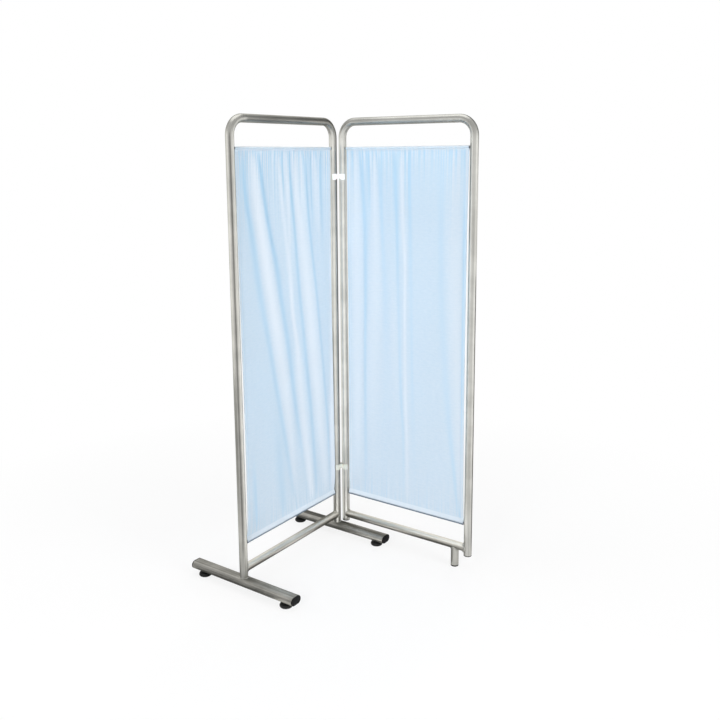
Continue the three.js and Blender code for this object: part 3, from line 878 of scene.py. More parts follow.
@dataclass
class FootBar:
    """One foot bar of oval tube with its end caps, glides and bolt head, in the model's frame.

    Attributes:
        name: The start of its pieces' names.
        sizes: Sizes of the tubes.
        length: The bar's length.
        rim: Width of the chamfer on the bar's ends.
        glide_height: Height of a glide.
        cap_plug: Length of the cap inside the bar.
        cap_flange: Thickness of the cap outside the bar.
        fillet: Rounding of the cap's outer edge.
    """

    name: str
    sizes: TubeSizes
    length: float = 0.48
    rim: float = 0.0003
    glide_height: float = 0.0207
    cap_plug: float = 0.014
    cap_flange: float = 0.004
    fillet: float = 0.0009

    def __post_init__(self) -> None:
        """Takes the bar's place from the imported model."""
        self.middle = middle_of(f"{self.name}_foot_bar")

    def ring(self, inset: float, along: float) -> Array:
        """The bar's outline, drawn in by an inset, at a place along the bar."""
        across, up = oval(self.sizes.bar_width - 2 * inset, self.sizes.bar_height - 2 * inset)
        return self.middle + stacked(across, along, up)

    def bar(self) -> Piece:
        """The oval tube, walled and open at its ends: its outline carried along it.

        Returns:
            The bar.
        """
        half, rim = self.length / 2, self.rim
        stations = [(rim, -half), (0.0, -half + rim), (0.0, 0.0), (0.0, half - rim), (rim, half)]
        outer = np.stack([self.ring(inset, along) for inset, along in stations])
        inner = np.stack([self.ring(self.sizes.bar_wall, along) for _, along in stations])
        return Piece(f"{self.name}_oval_bar", [walled(outer, inner)])

    def cap(self, end: str, side: float) -> Piece:
        """A plastic cap pressed into the bar's end, with a rounded flange and a shallow groove round its face.

        Each row of the grid is the bar's outline, drawn in by an inset, at a distance past the bar's end.

        Args:
            end: "front" or "rear".
            side: -1 for the front, 1 for the rear.

        Returns:
            The cap.
        """
        seat, face, deep = self.sizes.gap, self.cap_flange, -self.cap_plug
        plug, full, chamfer = self.sizes.bar_wall + seat, self.sizes.bar_height / 2, 0.001
        edge = [(self.fillet * (1 - math.cos(angle)), face - self.fillet * (1 - math.sin(angle)))
                for angle in np.linspace(0, QUARTER, 6)]
        groove = [(0.0022, face - 0.00015), (0.0032, face - 0.0004), (0.0042, face - 0.0002),
                  (full, face + 0.0001)]
        rows = [(full, deep), (plug + chamfer, deep), (plug, deep + chamfer), (plug, seat), (0.0002, seat),
                (0.0, seat + 0.0002), *edge, *groove]
        grid = np.stack([self.ring(inset, side * (self.length / 2 + past)) for inset, past in rows])
        return Piece(f"{self.name}_{end}_end_cap", [grid])

    def glide(self, end: str, centre: Array) -> Piece:
        """A round glide: a sole with a rounded rim, a sloping top and a neck bored for its stem.

        Args:
            end: "front" or "rear".
            centre: Where the glide stands.

        Returns:
            The glide.
        """
        top = self.glide_height
        profile = [(0.0, 0.0008), (0.0135, 0.0008), (0.0145, 0.0), (0.017, 0.0), (0.0215, 0.0016),
                   (0.0236, 0.0042), (0.024, 0.007), (0.0238, 0.0085), (0.0212, 0.0137), (0.0125, 0.0142),
                   (0.012, 0.0148), (0.012, top - 0.0005), (0.0115, top), (0.0043, top), (0.0043, 0.005),
                   (0.0, 0.005)]
        return Piece(f"{self.name}_{end}_glide_foot", [lathe(rounded(profile, 0.0012), centre)])

    def bolt_head(self) -> Piece:
        """The domed head of the bolt under the bar, a quarter of an ellipse, with its shank up to the leg.

        Returns:
            The bolt.
        """
        low, high = (corner[2] for corner in box_of(f"{self.name}_foot_bolt"))
        seat, head, shank = self.middle[2] - self.sizes.bar_height / 2 - self.sizes.gap, 0.009, 0.004
        dome = [(head * math.sin(a), seat - (seat - low) * math.cos(a)) for a in np.linspace(0, QUARTER, 9)]
        profile = [*dome, (shank, seat), (shank, high - 0.0005), (shank - 0.0005, high), (0.0, high)]
        return Piece(f"{self.name}_bolt", [lathe(profile, np.array([*self.middle[:2], 0.0]), 40)])


# The wing's leg ends


@dataclass
class WingFeet:
    """Plugs in the wing's leg ends, and the stub leg with its foot.

    Attributes:
        space: The wing's space.
        rail_height: Height of the rail's axis.
        stub_x: Where the stub leg stands along the panel.
        sizes: Sizes of the tubes.
        fillet: Rounding of the plugs.
        weld_gap: How far outside the rail the middle of the stub's weld lies.
        level: How far under the rail's axis the stub's rings are level again.
    """

    space: PanelSpace
    rail_height: float
    stub_x: float
    sizes: TubeSizes
    fillet: float = 0.0009
    weld_gap: float = 0.0005
    level: float = 0.02

    def plug(self, name: str, node: str, flange: float) -> Piece:
        """A plug pressed into a tube end, its flange rounded below.

        Args:
            name: The piece's name.
            node: The node it stands for.
            flange: Thickness of the flange.

        Returns:
            The plug, in the model's frame.
        """
        low, high = box_of(node)
        radius, inner, depth = self.sizes.radius, self.sizes.radii[1] - self.sizes.gap, high[2] - low[2]
        profile = [(0.0, 0.0), (radius, 0.0), (radius, flange), (inner, flange), (inner, depth), (0.0, depth)]
        return Piece(name, [lathe(rounded(profile, self.fillet, 5), np.array([*middle_of(node)[:2], low[2]]))])

    def under_rail(self, gap: float, y: Array) -> Array:
        """Height of the rail's underside at y, a gap below it: the rail's height less half its chord there."""
        return self.rail_height - half_chord(self.sizes.radius + gap, y)

    def stub(self) -> Piece:
        """The stub leg, its top shaped to the rail's underside.

        Returns:
            The leg.
        """
        low, skins = box_of("wing_stub_leg")[0][2], []
        for radius in self.sizes.radii:
            cosine, sine = ring_points(radius, self.sizes.sides)
            floor, level = np.full_like(sine, low), np.full_like(sine, self.rail_height - self.level)
            heights = np.stack([floor, level, self.under_rail(self.sizes.gap, sine)])
            skins.append(stacked(self.stub_x + cosine, sine, heights))
        return Piece("wing_stub_tube", [walled(*skins)], self.space)

    def stub_weld(self) -> Piece:
        """The weld bead round the top of the stub leg.

        Returns:
            The bead.
        """
        cosine, sine = ring_points(self.sizes.radius, self.sizes.weld_steps)
        path = stacked(self.stub_x + cosine, sine, self.under_rail(self.weld_gap, sine))
        bead = bead_along(path, stacked(cosine, sine, 0.0), self.sizes.bead, self.sizes.ripple)
        return Piece("wing_stub_weld", [bead], self.space)


# Hinge clips


@dataclass
class HingeClip:
    """A snap-on clip: two open jaws back to back with a web between, arched underneath.

    Attributes:
        name: The piece's name.
        node: The node it stands for.
        space: The clip's space, along the line between the hinge legs.
        spacing: Distance between the hinge legs.
        bore: Radius of the jaws' openings.
        wall: Thickness of the jaws.
        height: Height of the clip.
        jaw_reach: How far a jaw reaches past its leg's axis.
        web_half: Half width of the web.
        arch_radius: Radius of the arch underneath.
        arch_rise: Its height.
        steps: Steps round a jaw's half.
        fillet: Rounding of its edges.
        sharp_from: Angle in degrees past which an edge is rounded.
    """

    name: str
    node: str
    space: PanelSpace
    spacing: float = 0.038
    bore: float = 0.0153
    wall: float = 0.003
    height: float = 0.022
    jaw_reach: float = 0.005
    web_half: float = 0.011
    arch_radius: float = 0.011
    arch_rise: float = 0.005
    steps: int = 22
    fillet: float = 0.0007
    sharp_from: float = 40.0

    def stations(self) -> Array:
        """Places along the clip, closer together where its bores and its arch turn.

        Returns:
            Values of x from the tip of one jaw to the tip of the other.
        """
        shoulder = math.sqrt((self.bore + self.wall) ** 2 - self.web_half ** 2)
        arc = self.bore * np.cos(np.linspace(math.acos(-self.jaw_reach / self.bore), 0.0, self.steps))
        web = np.linspace(self.bore, self.spacing / 2, 6)[1:]
        half = np.concatenate([np.unique([*arc, shoulder]), web])
        return np.concatenate([half, (self.spacing - half[:-1])[::-1]])

    def edges(self, x: Array) -> tuple[Array, Array]:
        """Half widths of the clip's opening and of its outside at x.

        The opening is half a chord of the bore. The outside is half a chord of the collar, or the web's half
        width where that is more.

        Args:
            x: Places along the clip.

        Returns:
            The inner and the outer half widths.
        """
        near = np.minimum(np.abs(x), np.abs(x - self.spacing))
        collar = half_chord(self.bore + self.wall, near)
        between = (x > 0.0) & (x < self.spacing)
        return half_chord(self.bore, near), np.where(between, np.maximum(collar, self.web_half), collar)

    def underside(self, x: Array) -> Array:
        """Height of the underside at x: flat, with a round arch in the middle of the web."""
        arc = half_chord(self.arch_radius, np.abs(x - self.spacing / 2))
        return np.maximum(-self.height / 2, arc + self.arch_rise - self.height / 2 - self.arch_radius)

    def half(self, side: float) -> list[Array]:
        """Top, bottom and walls of one half of the clip.

        Args:
            side: 1 for the back half, -1 for the front half.

        Returns:
            Grids whose borders meet each other and the other half's.
        """
        x = self.stations()
        inner, outer = self.edges(x)
        y = side * (inner + np.linspace(0.0, 1.0, 4)[:, None] * (outer - inner))
        top, bottom = stacked(x, y, self.height / 2), stacked(x, y, self.underside(x))
        grids = [top, bottom, np.stack([top[-1], bottom[-1]])]
        is_open, starts = inner > 1e-9, x < self.spacing / 2
        for part in (is_open & starts, is_open & ~starts):
            keep = (part | np.roll(part, 1) | np.roll(part, -1)) & (starts if part[0] else ~starts)
            grids.append(np.stack([top[0][keep], bottom[0][keep]]))
        return grids + [np.stack([top[:, end], bottom[:, end]]) for end in (0, -1)]

    def piece(self) -> Piece:
        """The whole clip at its height on the hinge legs."""
        rise = np.array([0.0, 0.0, middle_of(self.node)[2]])
        return Piece(self.name, [grid + rise for grid in self.half(1.0) + self.half(-1.0)], self.space, 30.0)

    def soften(self, clip: Object) -> None:
        """Rounds the clip's edges with a Bevel modifier.

        Args:
            clip: The finished clip.
        """
        edges = clip.modifiers.new("rounded_edges", "BEVEL")
        edges.width, edges.segments, edges.limit_method = self.fillet, 3, "ANGLE"
        edges.angle_limit, edges.use_clamp_overlap = math.radians(self.sharp_from), True


# Curtains


def leaning_slope(path: Strip, across: Array, down: Array) -> Array:
    """Slope of the cloth on a fold's flank: its lean times the exponential of minus a distance squared.

    The distance is from the middle of the leaning strip, in half widths. Corners of the strip's path are
    taken off by averaging three near places.

    Args:
        path: Points down the cloth: share down, share across, half width as a share, and lean, which is
            the rise towards the front over the run to the right.
        across: Shares across, one for each column.
        down: Shares down, one for each row.

    Returns:
        Rows by columns.
    """
    places, *tracks = np.array(path).T
    centre, width, lean = (sum(np.interp(down + shift, places, track) for shift in (-0.03, 0.0, 0.03)) / 3.0
                           for track in tracks)
    away = (across[None, :] - centre[:, None]) / width[:, None]
    return lean[:, None] * np.exp(-away * away)


@dataclass
class Gathers:
    """Small gathers at a seam, each a ripple that fades into the cloth.

    Attributes:
        seed: Start of the number draw.
        count: How many there are.
        height: Largest height at the seam.
        shortest: Shortest length down the cloth.
        longest: Longest length down the cloth.
        widths: Narrowest and widest half width, as shares of the cloth's width.
        backward: Height of those that stand backwards, as a share of the others'.
    """

    seed: int
    count: int
    height: float
    shortest: float
    longest: float
    widths: Pair = (0.004, 0.0095)
    backward: float = -0.7

    def offsets(self, across: Array, away: Array) -> Array:
        """Height of the ripples: a bell across, times the exponential of minus the distance over the length.

        Args:
            across: Shares across, one for each column.
            away: Distance from the seam, one for each row.

        Returns:
            Rows by columns, in metres towards the front.
        """
        draw, count = np.random.default_rng(self.seed), self.count
        places = (np.arange(count) + draw.uniform(0.1, 0.9, count)) / count
        widths = draw.uniform(*self.widths, count)
        heights = self.height * draw.uniform(0.35, 1.0, count)
        heights *= np.where(draw.random(count) < 0.5, self.backward, 1.0)
        lengths = draw.uniform(self.shortest, self.longest, count)
        bell = np.exp(-(((across[None, :] - places[:, None]) / widths[:, None]) ** 2))
        return (np.exp(-away[:, None] / lengths[None, :]) * heights[None, :]) @ bell


@dataclass
class Curtain:
    """A curtain sewn into a sleeve round each rod, with turned side hems and standing folds.

    Attributes:
        space: The panel's space.
        rods: Heights of the rods' axes, by "top" and "bottom".
        strips: Paths of the leaning strips that make the folds.
        gathers: The gathers under the upper and over the lower seam.
        lit_side: 1 where the light comes from the panel's left, -1 for its right.
        crease: Share across where a level crease starts, where it ends, and its share down, or None.
        crease_shape: Depth of the crease, its half height as a share, and the share its ends fade over.
        start: Where the cloth starts along the panel.
        width: Width of the cloth.
        wrap: Radius of the sleeves.
        on_rod: The same radius where the cloth lies on the rod.
        top_seam: How far the upper seam is under the rod.
        bottom_seam: How far the lower seam is over the rod.
        flap_gap: How far the flap hangs behind the cloth at a seam.
        cloth: Thickness of the cloth.
        side_hem: Width of the side hems.
        hem_step: Height of the side hems, and the width over which it fades.
        pull_in: How far each side draws in between the rods.
        columns: Points across.
        field_rows: Rows of points between the seams.
        crowding: How far those rows draw together near the seams, from 0 to 1.
        deepest: Height that no fold passes.
        freedom: Distance from a seam over which the folds grow, and the power that they grow with.
        behind: Share of the folds' height that the flaps behind follow.
        steepest: Slope at which the material takes a flank for fully lit or fully shaded.
        top_shade: Painted shade under the upper rod, and the distance over which it fades.
        stitches: How far over the upper seam its line of stitches shows, and half its width.
        doubling: Shares of the doubled colour on the sleeve over the upper seam and on the side hems.
        hem_fade: Distance over which that colour fades.
        rod_shade: Height over the lower rod up to which its painted shade darkens the cloth, and over which that
            fades.
    """

    space: PanelSpace
    rods: dict[str, float]
    strips: tuple[Strip, ...]
    gathers: tuple[Gathers, Gathers]
    lit_side: float
    crease: Triple | None
    crease_shape: Triple = (0.0012, 0.0028, 0.04)
    start: float = 0.0195
    width: float = 0.531
    wrap: float = 0.0058
    on_rod: float = 0.0046
    top_seam: float = 0.0088
    bottom_seam: float = 0.021
    flap_gap: float = 0.0011
    cloth: float = 0.0006
    side_hem: float = 0.011
    hem_step: Pair = (0.0005, 0.0015)
    pull_in: float = 0.004
    columns: int = 262
    field_rows: int = 104
    crowding: float = 0.3
    deepest: float = 0.0105
    freedom: Pair = (0.028, 1.2)
    behind: float = 0.4
    steepest: float = 0.3
    top_shade: Pair = (0.35, 0.3)
    stitches: Pair = (0.002, 0.0013)
    doubling: Pair = (0.4, 0.3)
    hem_fade: float = 0.001
    rod_shade: Pair = (0.0045, 0.0015)

    def __post_init__(self) -> None:
        """Works out the seams' heights, and places across as shares and as distances from the nearer side."""
        self.upper, self.lower = self.rods["top"] - self.top_seam, self.rods["bottom"] + self.bottom_seam
        self.across = np.linspace(0.0, 1.0, self.columns)
        self.from_side = self.width * np.minimum(self.across, 1.0 - self.across)

    def sleeve(self, rod: float, seam: float, side: float) -> Array:
        """Section of the sleeve round a rod, from the seam behind, round the rod, to the seam in front.

        The cloth eases out from the seam, follows a half circle that touches the rod, and eases back.

        Args:
            rod: Height of the rod.
            seam: Height of the seam.
            side: 1 where the cloth goes over the rod, -1 where it goes under.

        Returns:
            Pairs of y and z.
        """
        wrap, gap, t = self.wrap, self.flap_gap, np.linspace(0.0, 1.0, 8)
        rod = rod - side * (wrap - self.on_rod)
        rise, angle = seam + (rod - seam) * t, np.linspace(0.0, HALF_TURN, 15)[1:-1]
        behind = stacked(gap + (wrap - gap) * smooth_step(t), rise)
        round_rod = stacked(wrap * np.cos(angle), rod + side * wrap * np.sin(angle))
        return np.concatenate([behind, round_rod, stacked(-wrap * smooth_step(t), rise)[::-1]])

    def section(self) -> tuple[Array, Array]:
        """Section of the whole curtain from its upper back seam, down the front, to its lower back seam.

        Returns:
            Pairs of y and z, and how far each is into the field from either seam.
        """
        over = self.sleeve(self.rods["top"], self.upper, 1.0)
        under = self.sleeve(self.rods["bottom"], self.lower, -1.0)[::-1]
        t = np.linspace(0.0, 1.0, self.field_rows + 2)[1:-1]
        eased = (1.0 - self.crowding) * t + self.crowding * smooth_step(t)
        heights = self.upper + (self.lower - self.upper) * eased
        depth = np.pad(np.minimum(self.upper - heights, heights - self.lower), (len(over), len(under)))
        return np.concatenate([over, stacked(0.0, heights), under]), depth

    def folds(self, down: Array) -> Array:
        """Height of the standing folds: the running sum of the strips' slopes, levelled so both sides are even.

        Args:
            down: Shares down.

        Returns:
            Rows by columns, in metres towards the front, held under the deepest by a hyperbolic tangent.
        """
        slope = self.lit_side * sum(leaning_slope(path, self.across, down) for path in self.strips)
        height = np.cumsum(slope * (self.width * np.diff(self.across, prepend=self.across[0])), axis=1)
        height -= height[:, -1:] * self.across[None, :]
        height -= height.mean(axis=1, keepdims=True)
        return self.deepest * np.tanh(height / self.deepest)

    def offsets(self, section: Array, depth: Array) -> Array:
        """How far the cloth stands off its section: folds that grow from the seams, gathers, hems and crease.

        Args:
            section: Pairs of y and z down the cloth.
            depth: Distance into the field from the nearer seam.

        Returns:
            Rows by columns, in metres towards the front.
        """
        z = section[:, 1]
        down = np.clip((self.upper - z) / (self.upper - self.lower), 0.0, 1.0)
        length, power = self.freedom
        height = (1.0 - np.exp(-((depth / length) ** power)))[:, None] * self.folds(down)
        held = np.where(depth > 0.0, 1.0, 0.5)[:, None]
        for gathers, away, near in zip(self.gathers, (self.upper - z, z - self.lower), (down < 0.5, down >= 0.5)):
            height += held * gathers.offsets(self.across, np.maximum(away, 0.0)) * near[:, None]
        step, fade = self.hem_step
        height += step * (1.0 - smooth_step((self.from_side - self.side_hem) / fade))
        if self.crease is not None:
            (start, end, place), (deep, half, ends) = self.crease, self.crease_shape
            reach = smooth_step((self.across - start) / ends) * smooth_step((end - self.across) / ends)
            height -= deep * np.exp(-(((down - place) / half) ** 2))[:, None] * reach[None, :]
        return height

    def shape(self) -> tuple[Array, Array]:
        """The curtain's points and the section they come from.

        The section is carried across the panel, and each point is moved towards the front by its offset. The
        sides draw in between the rods by a sine to the power 0.8.

        Returns:
            One grid, and pairs of y and z.
        """
        section, depth = self.section()
        top, bottom = self.rods["top"], self.rods["bottom"]
        slack = np.sin(math.pi * np.clip((top - section[:, 1]) / (top - bottom), 0.0, 1.0)) ** 0.8
        shrink = 1.0 - 2.0 * self.pull_in * slack[:, None] / self.width
        x = self.start + self.width * (0.5 + (self.across[None, :] - 0.5) * shrink)
        follow = np.where(section[:, 0] > 0.0, self.behind, 1.0)[:, None]
        y = section[:, :1] - self.offsets(section, depth) * follow
        return stacked(x, y, section[:, 1:]), section

    def values(self, section: Array, points: Array) -> dict[str, Array]:
        """Where the cloth is doubled or painted paler, where the rod's painted shade falls and how it leans, for
        the material's painted light and shade.

        The lean is the hyperbolic tangent of the slope across the cloth, towards the side the light comes
        from, less a painted shade under the upper rod that fades with the exponential of the distance from it. A
        seam line is a bell round the stitches over the upper seam. The sleeve's top over the upper rod gets a
        painted highlight.

        Args:
            section: Pairs of y and z down the cloth.
            points: The curtain's points.

        Returns:
            Values for each point under "layers", "rod" and "fold".
        """
        y, z = section[:, :1], section[:, 1:]
        (sleeve, hem), (over, half), (reach, ease) = self.doubling, self.stitches, self.rod_shade
        sewn = np.maximum(sleeve * smooth_step((z - self.upper) / self.hem_fade),
                          smooth_step((self.lower - z) / self.hem_fade))
        seam_line = np.exp(-((z - self.upper - over) / half) ** 2)
        # Painted highlight: the sleeve's top over the upper rod gets the full doubled colour.
        sewn = np.maximum(np.maximum(sewn, seam_line), smooth_step((z - self.rods["top"]) / 0.002))
        side_hem = hem * (1.0 - smooth_step((self.from_side - self.side_hem) / self.hem_fade))
        layers_and_lit_top = np.maximum(sewn, side_hem[None, :])
        # Painted shade where the lower rod shows dark through the cloth.
        rod = np.broadcast_to(smooth_step((self.rods["bottom"] + reach - z) / ease), layers_and_lit_top.shape)
        slope = -np.gradient(points[..., 1], axis=1) / np.gradient(points[..., 0], axis=1)
        # Painted shade under the upper rod, taken off the lean value.
        shade, fade = self.top_shade
        lean = np.tanh(self.lit_side * slope / self.steepest) - shade * np.exp((z - self.rods["top"]) / fade)
        return {"layers_and_lit_top": layers_and_lit_top, "rod": rod, "fold": lean * np.where(y > 0.0, 0.0, 1.0)}

    def build(self) -> tuple[Object, Pair]:
        """Makes the cloth, one layer of points that a Solidify modifier gives its thickness.

        Returns:
            The curtain's object, and the width and length that its cloth was cut to.
        """
        points, section = self.shape()
        cut = float(along_rows(points.transpose(1, 0, 2))[-1].mean()), float(along_rows(points)[-1].mean())
        piece = Piece(f"{self.space.name}_gathered_curtain", [points], self.space, 180.0, 1e-7).build()
        for key, values in self.values(section, points).items():
            layer = piece.data.attributes.new(key, "FLOAT", "POINT")
            layer.data.foreach_set("value", values.reshape(-1).astype(np.float32))
        thickness = piece.modifiers.new("cloth_thickness", "SOLIDIFY")
        thickness.thickness, thickness.offset = self.cloth, 0.0
        LOG.info("%s: %d rows of %d points, cut %.3f by %.3f m", piece.name, *points.shape[:2], *cut)
        return piece, cut


# Each strip's path down the cloth: share down, share across, half width and lean
MAIN_STRIPS = (
    ((0.0, 0.075, 0.02, -0.3), (0.1, 0.085, 0.025, -0.3), (0.2, 0.145, 0.034, -0.26),
     (0.3, 0.185, 0.043, -0.19), (0.4, 0.235, 0.038, -0.18), (0.5, 0.296, 0.032, -0.19),
     (0.6, 0.347, 0.03, -0.2), (0.7, 0.4, 0.029, -0.18), (0.8, 0.455, 0.028, -0.18), (0.97, 0.54, 0.03, -0.12),
     (1.0, 0.55, 0.03, 0.0)),
    ((0.0, 0.17, 0.022, 0.34), (0.12, 0.195, 0.03, 0.34), (0.23, 0.242, 0.042, 0.34), (0.4, 0.328, 0.05, 0.3),
     (0.6, 0.428, 0.05, 0.28), (0.78, 0.502, 0.035, 0.24), (0.95, 0.55, 0.025, 0.1), (1.0, 0.56, 0.02, 0.0)),
    ((0.0, 0.225, 0.022, -0.42), (0.12, 0.27, 0.024, -0.4), (0.23, 0.33, 0.026, -0.32),
     (0.3, 0.38, 0.036, -0.24), (0.4, 0.422, 0.03, -0.21), (0.5, 0.478, 0.032, -0.18),
     (0.6, 0.523, 0.03, -0.18), (0.7, 0.563, 0.028, -0.18), (0.8, 0.618, 0.026, -0.14),
     (0.9, 0.662, 0.026, -0.06), (1.0, 0.69, 0.03, -0.05)),
    ((0.0, 0.417, 0.014, 0.2), (0.1, 0.45, 0.016, 0.2), (0.2, 0.48, 0.016, 0.16), (0.32, 0.53, 0.02, 0.2),
     (0.44, 0.545, 0.014, 0.34), (0.53, 0.596, 0.018, 0.3), (0.62, 0.61, 0.038, 0.26),
     (0.8, 0.665, 0.035, 0.28), (1.0, 0.737, 0.022, 0.32)),
    ((0.0, 0.505, 0.014, 0.2), (0.1, 0.512, 0.014, 0.2), (0.25, 0.53, 0.016, 0.1), (0.3, 0.53, 0.016, 0.0)),
    ((0.0, 0.46, 0.014, -0.22), (0.05, 0.465, 0.014, -0.2), (0.14, 0.49, 0.014, 0.0)),
    ((0.0, 0.535, 0.016, -0.3), (0.12, 0.56, 0.018, -0.32), (0.23, 0.593, 0.018, -0.24),
     (0.4, 0.636, 0.022, -0.2), (0.5, 0.672, 0.024, -0.18), (0.6, 0.7, 0.026, -0.17),
     (0.7, 0.733, 0.024, -0.17), (0.8, 0.758, 0.023, -0.15), (0.9, 0.772, 0.022, -0.14),
     (1.0, 0.79, 0.022, -0.12)),
    ((0.0, 0.587, 0.018, 0.3), (0.12, 0.61, 0.024, 0.26), (0.23, 0.665, 0.045, 0.24), (0.4, 0.73, 0.055, 0.28),
     (0.6, 0.79, 0.055, 0.3), (0.8, 0.85, 0.045, 0.26), (1.0, 0.905, 0.03, 0.14)),
    ((0.0, 0.655, 0.014, 0.24), (0.12, 0.67, 0.016, 0.2), (0.22, 0.7, 0.02, 0.0)),
    ((0.0, 0.7, 0.014, -0.26), (0.12, 0.72, 0.016, -0.3), (0.23, 0.75, 0.017, -0.24),
     (0.4, 0.815, 0.018, -0.2), (0.6, 0.876, 0.018, -0.18), (0.8, 0.932, 0.017, -0.14),
     (1.0, 0.95, 0.02, -0.06)),
    ((0.0, 0.76, 0.013, -0.2), (0.12, 0.775, 0.014, -0.18), (0.22, 0.79, 0.014, 0.0)),
    ((0.0, 0.81, 0.018, 0.24), (0.1, 0.83, 0.022, 0.2), (0.24, 0.85, 0.03, 0.0)),
    ((0.0, 0.875, 0.016, -0.26), (0.1, 0.88, 0.018, -0.22), (0.24, 0.9, 0.02, -0.05), (0.3, 0.9, 0.02, 0.0)),
    ((0.78, 0.08, 0.02, 0.0), (0.88, 0.085, 0.022, -0.22), (1.0, 0.1, 0.02, -0.26)),
    ((0.7, 0.35, 0.06, 0.0), (0.85, 0.37, 0.05, -0.1), (1.0, 0.4, 0.04, -0.14)),
    ((0.42, 0.985, 0.02, 0.0), (0.6, 0.985, 0.02, 0.2), (0.78, 0.985, 0.024, 0.38), (1.0, 0.985, 0.024, 0.4)),
)
WING_STRIPS = (
    ((0.0, 0.078, 0.026, 0.124), (0.2, 0.078, 0.042, 0.161), (0.4, 0.083, 0.046, 0.174),
     (0.7, 0.08, 0.044, 0.161), (1.0, 0.075, 0.04, 0.074)),
    ((0.0, 0.12, 0.014, -0.186), (0.1, 0.135, 0.02, -0.174), (0.2, 0.157, 0.022, -0.149),
     (0.4, 0.157, 0.016, -0.161), (0.6, 0.15, 0.015, -0.149), (0.8, 0.15, 0.016, -0.112),
     (1.0, 0.16, 0.018, -0.031)),
    ((0.0, 0.19, 0.012, -0.149), (0.12, 0.2, 0.014, -0.099), (0.2, 0.2, 0.016, 0.0)),
    ((0.0, 0.24, 0.018, 0.161), (0.12, 0.242, 0.028, 0.161), (0.2, 0.25, 0.034, 0.149),
     (0.4, 0.25, 0.05, 0.136), (0.6, 0.23, 0.055, 0.112), (0.8, 0.22, 0.055, 0.062), (1.0, 0.22, 0.05, 0.0)),
    ((0.0, 0.28, 0.016, -0.161), (0.1, 0.29, 0.016, -0.149), (0.2, 0.3, 0.018, -0.112),
     (0.4, 0.325, 0.03, -0.05), (0.6, 0.34, 0.03, 0.0)),
    ((0.0, 0.42, 0.018, -0.198), (0.12, 0.425, 0.018, -0.198), (0.2, 0.435, 0.014, -0.186),
     (0.4, 0.445, 0.014, -0.074), (0.6, 0.46, 0.012, -0.099), (0.7, 0.472, 0.012, -0.124),
     (0.8, 0.495, 0.012, -0.087), (1.0, 0.5, 0.012, -0.031)),
    ((0.0, 0.467, 0.012, 0.186), (0.12, 0.478, 0.013, 0.186), (0.2, 0.487, 0.017, 0.174),
     (0.3, 0.505, 0.011, 0.248), (0.5, 0.5, 0.011, 0.223), (0.7, 0.51, 0.013, 0.211),
     (0.8, 0.524, 0.014, 0.161), (1.0, 0.53, 0.014, 0.136)),
    ((0.0, 0.533, 0.016, -0.186), (0.12, 0.54, 0.016, -0.161), (0.2, 0.546, 0.016, -0.124),
     (0.4, 0.555, 0.016, -0.062), (0.6, 0.563, 0.012, -0.087), (0.8, 0.58, 0.02, -0.025),
     (1.0, 0.6, 0.02, 0.0)),
    ((0.3, 0.4, 0.03, 0.0), (0.5, 0.41, 0.03, 0.074), (0.65, 0.42, 0.03, 0.05), (0.8, 0.43, 0.03, 0.0)),
    ((0.0, 0.8, 0.03, -0.05), (0.2, 0.797, 0.025, -0.074), (0.4, 0.81, 0.03, -0.062),
     (0.6, 0.845, 0.03, -0.062), (0.75, 0.885, 0.025, -0.087), (0.87, 0.925, 0.016, -0.136),
     (1.0, 0.96, 0.012, -0.149)),
    ((0.0, 0.9, 0.04, 0.05), (0.2, 0.905, 0.05, 0.074), (0.4, 0.926, 0.05, 0.149), (0.6, 0.94, 0.04, 0.149),
     (0.8, 0.96, 0.025, 0.124), (1.0, 0.98, 0.02, 0.062)),
    ((0.15, 0.008, 0.02, 0.0), (0.3, 0.008, 0.022, -0.2), (0.6, 0.008, 0.02, -0.22), (0.75, 0.01, 0.02, -0.1),
     (0.9, 0.01, 0.02, 0.0)),
    ((0.1, 0.985, 0.02, 0.0), (0.2, 0.985, 0.02, -0.2), (0.6, 0.985, 0.018, -0.24), (0.75, 0.985, 0.015, -0.1),
     (0.85, 0.985, 0.015, 0.0)),
)


# The room


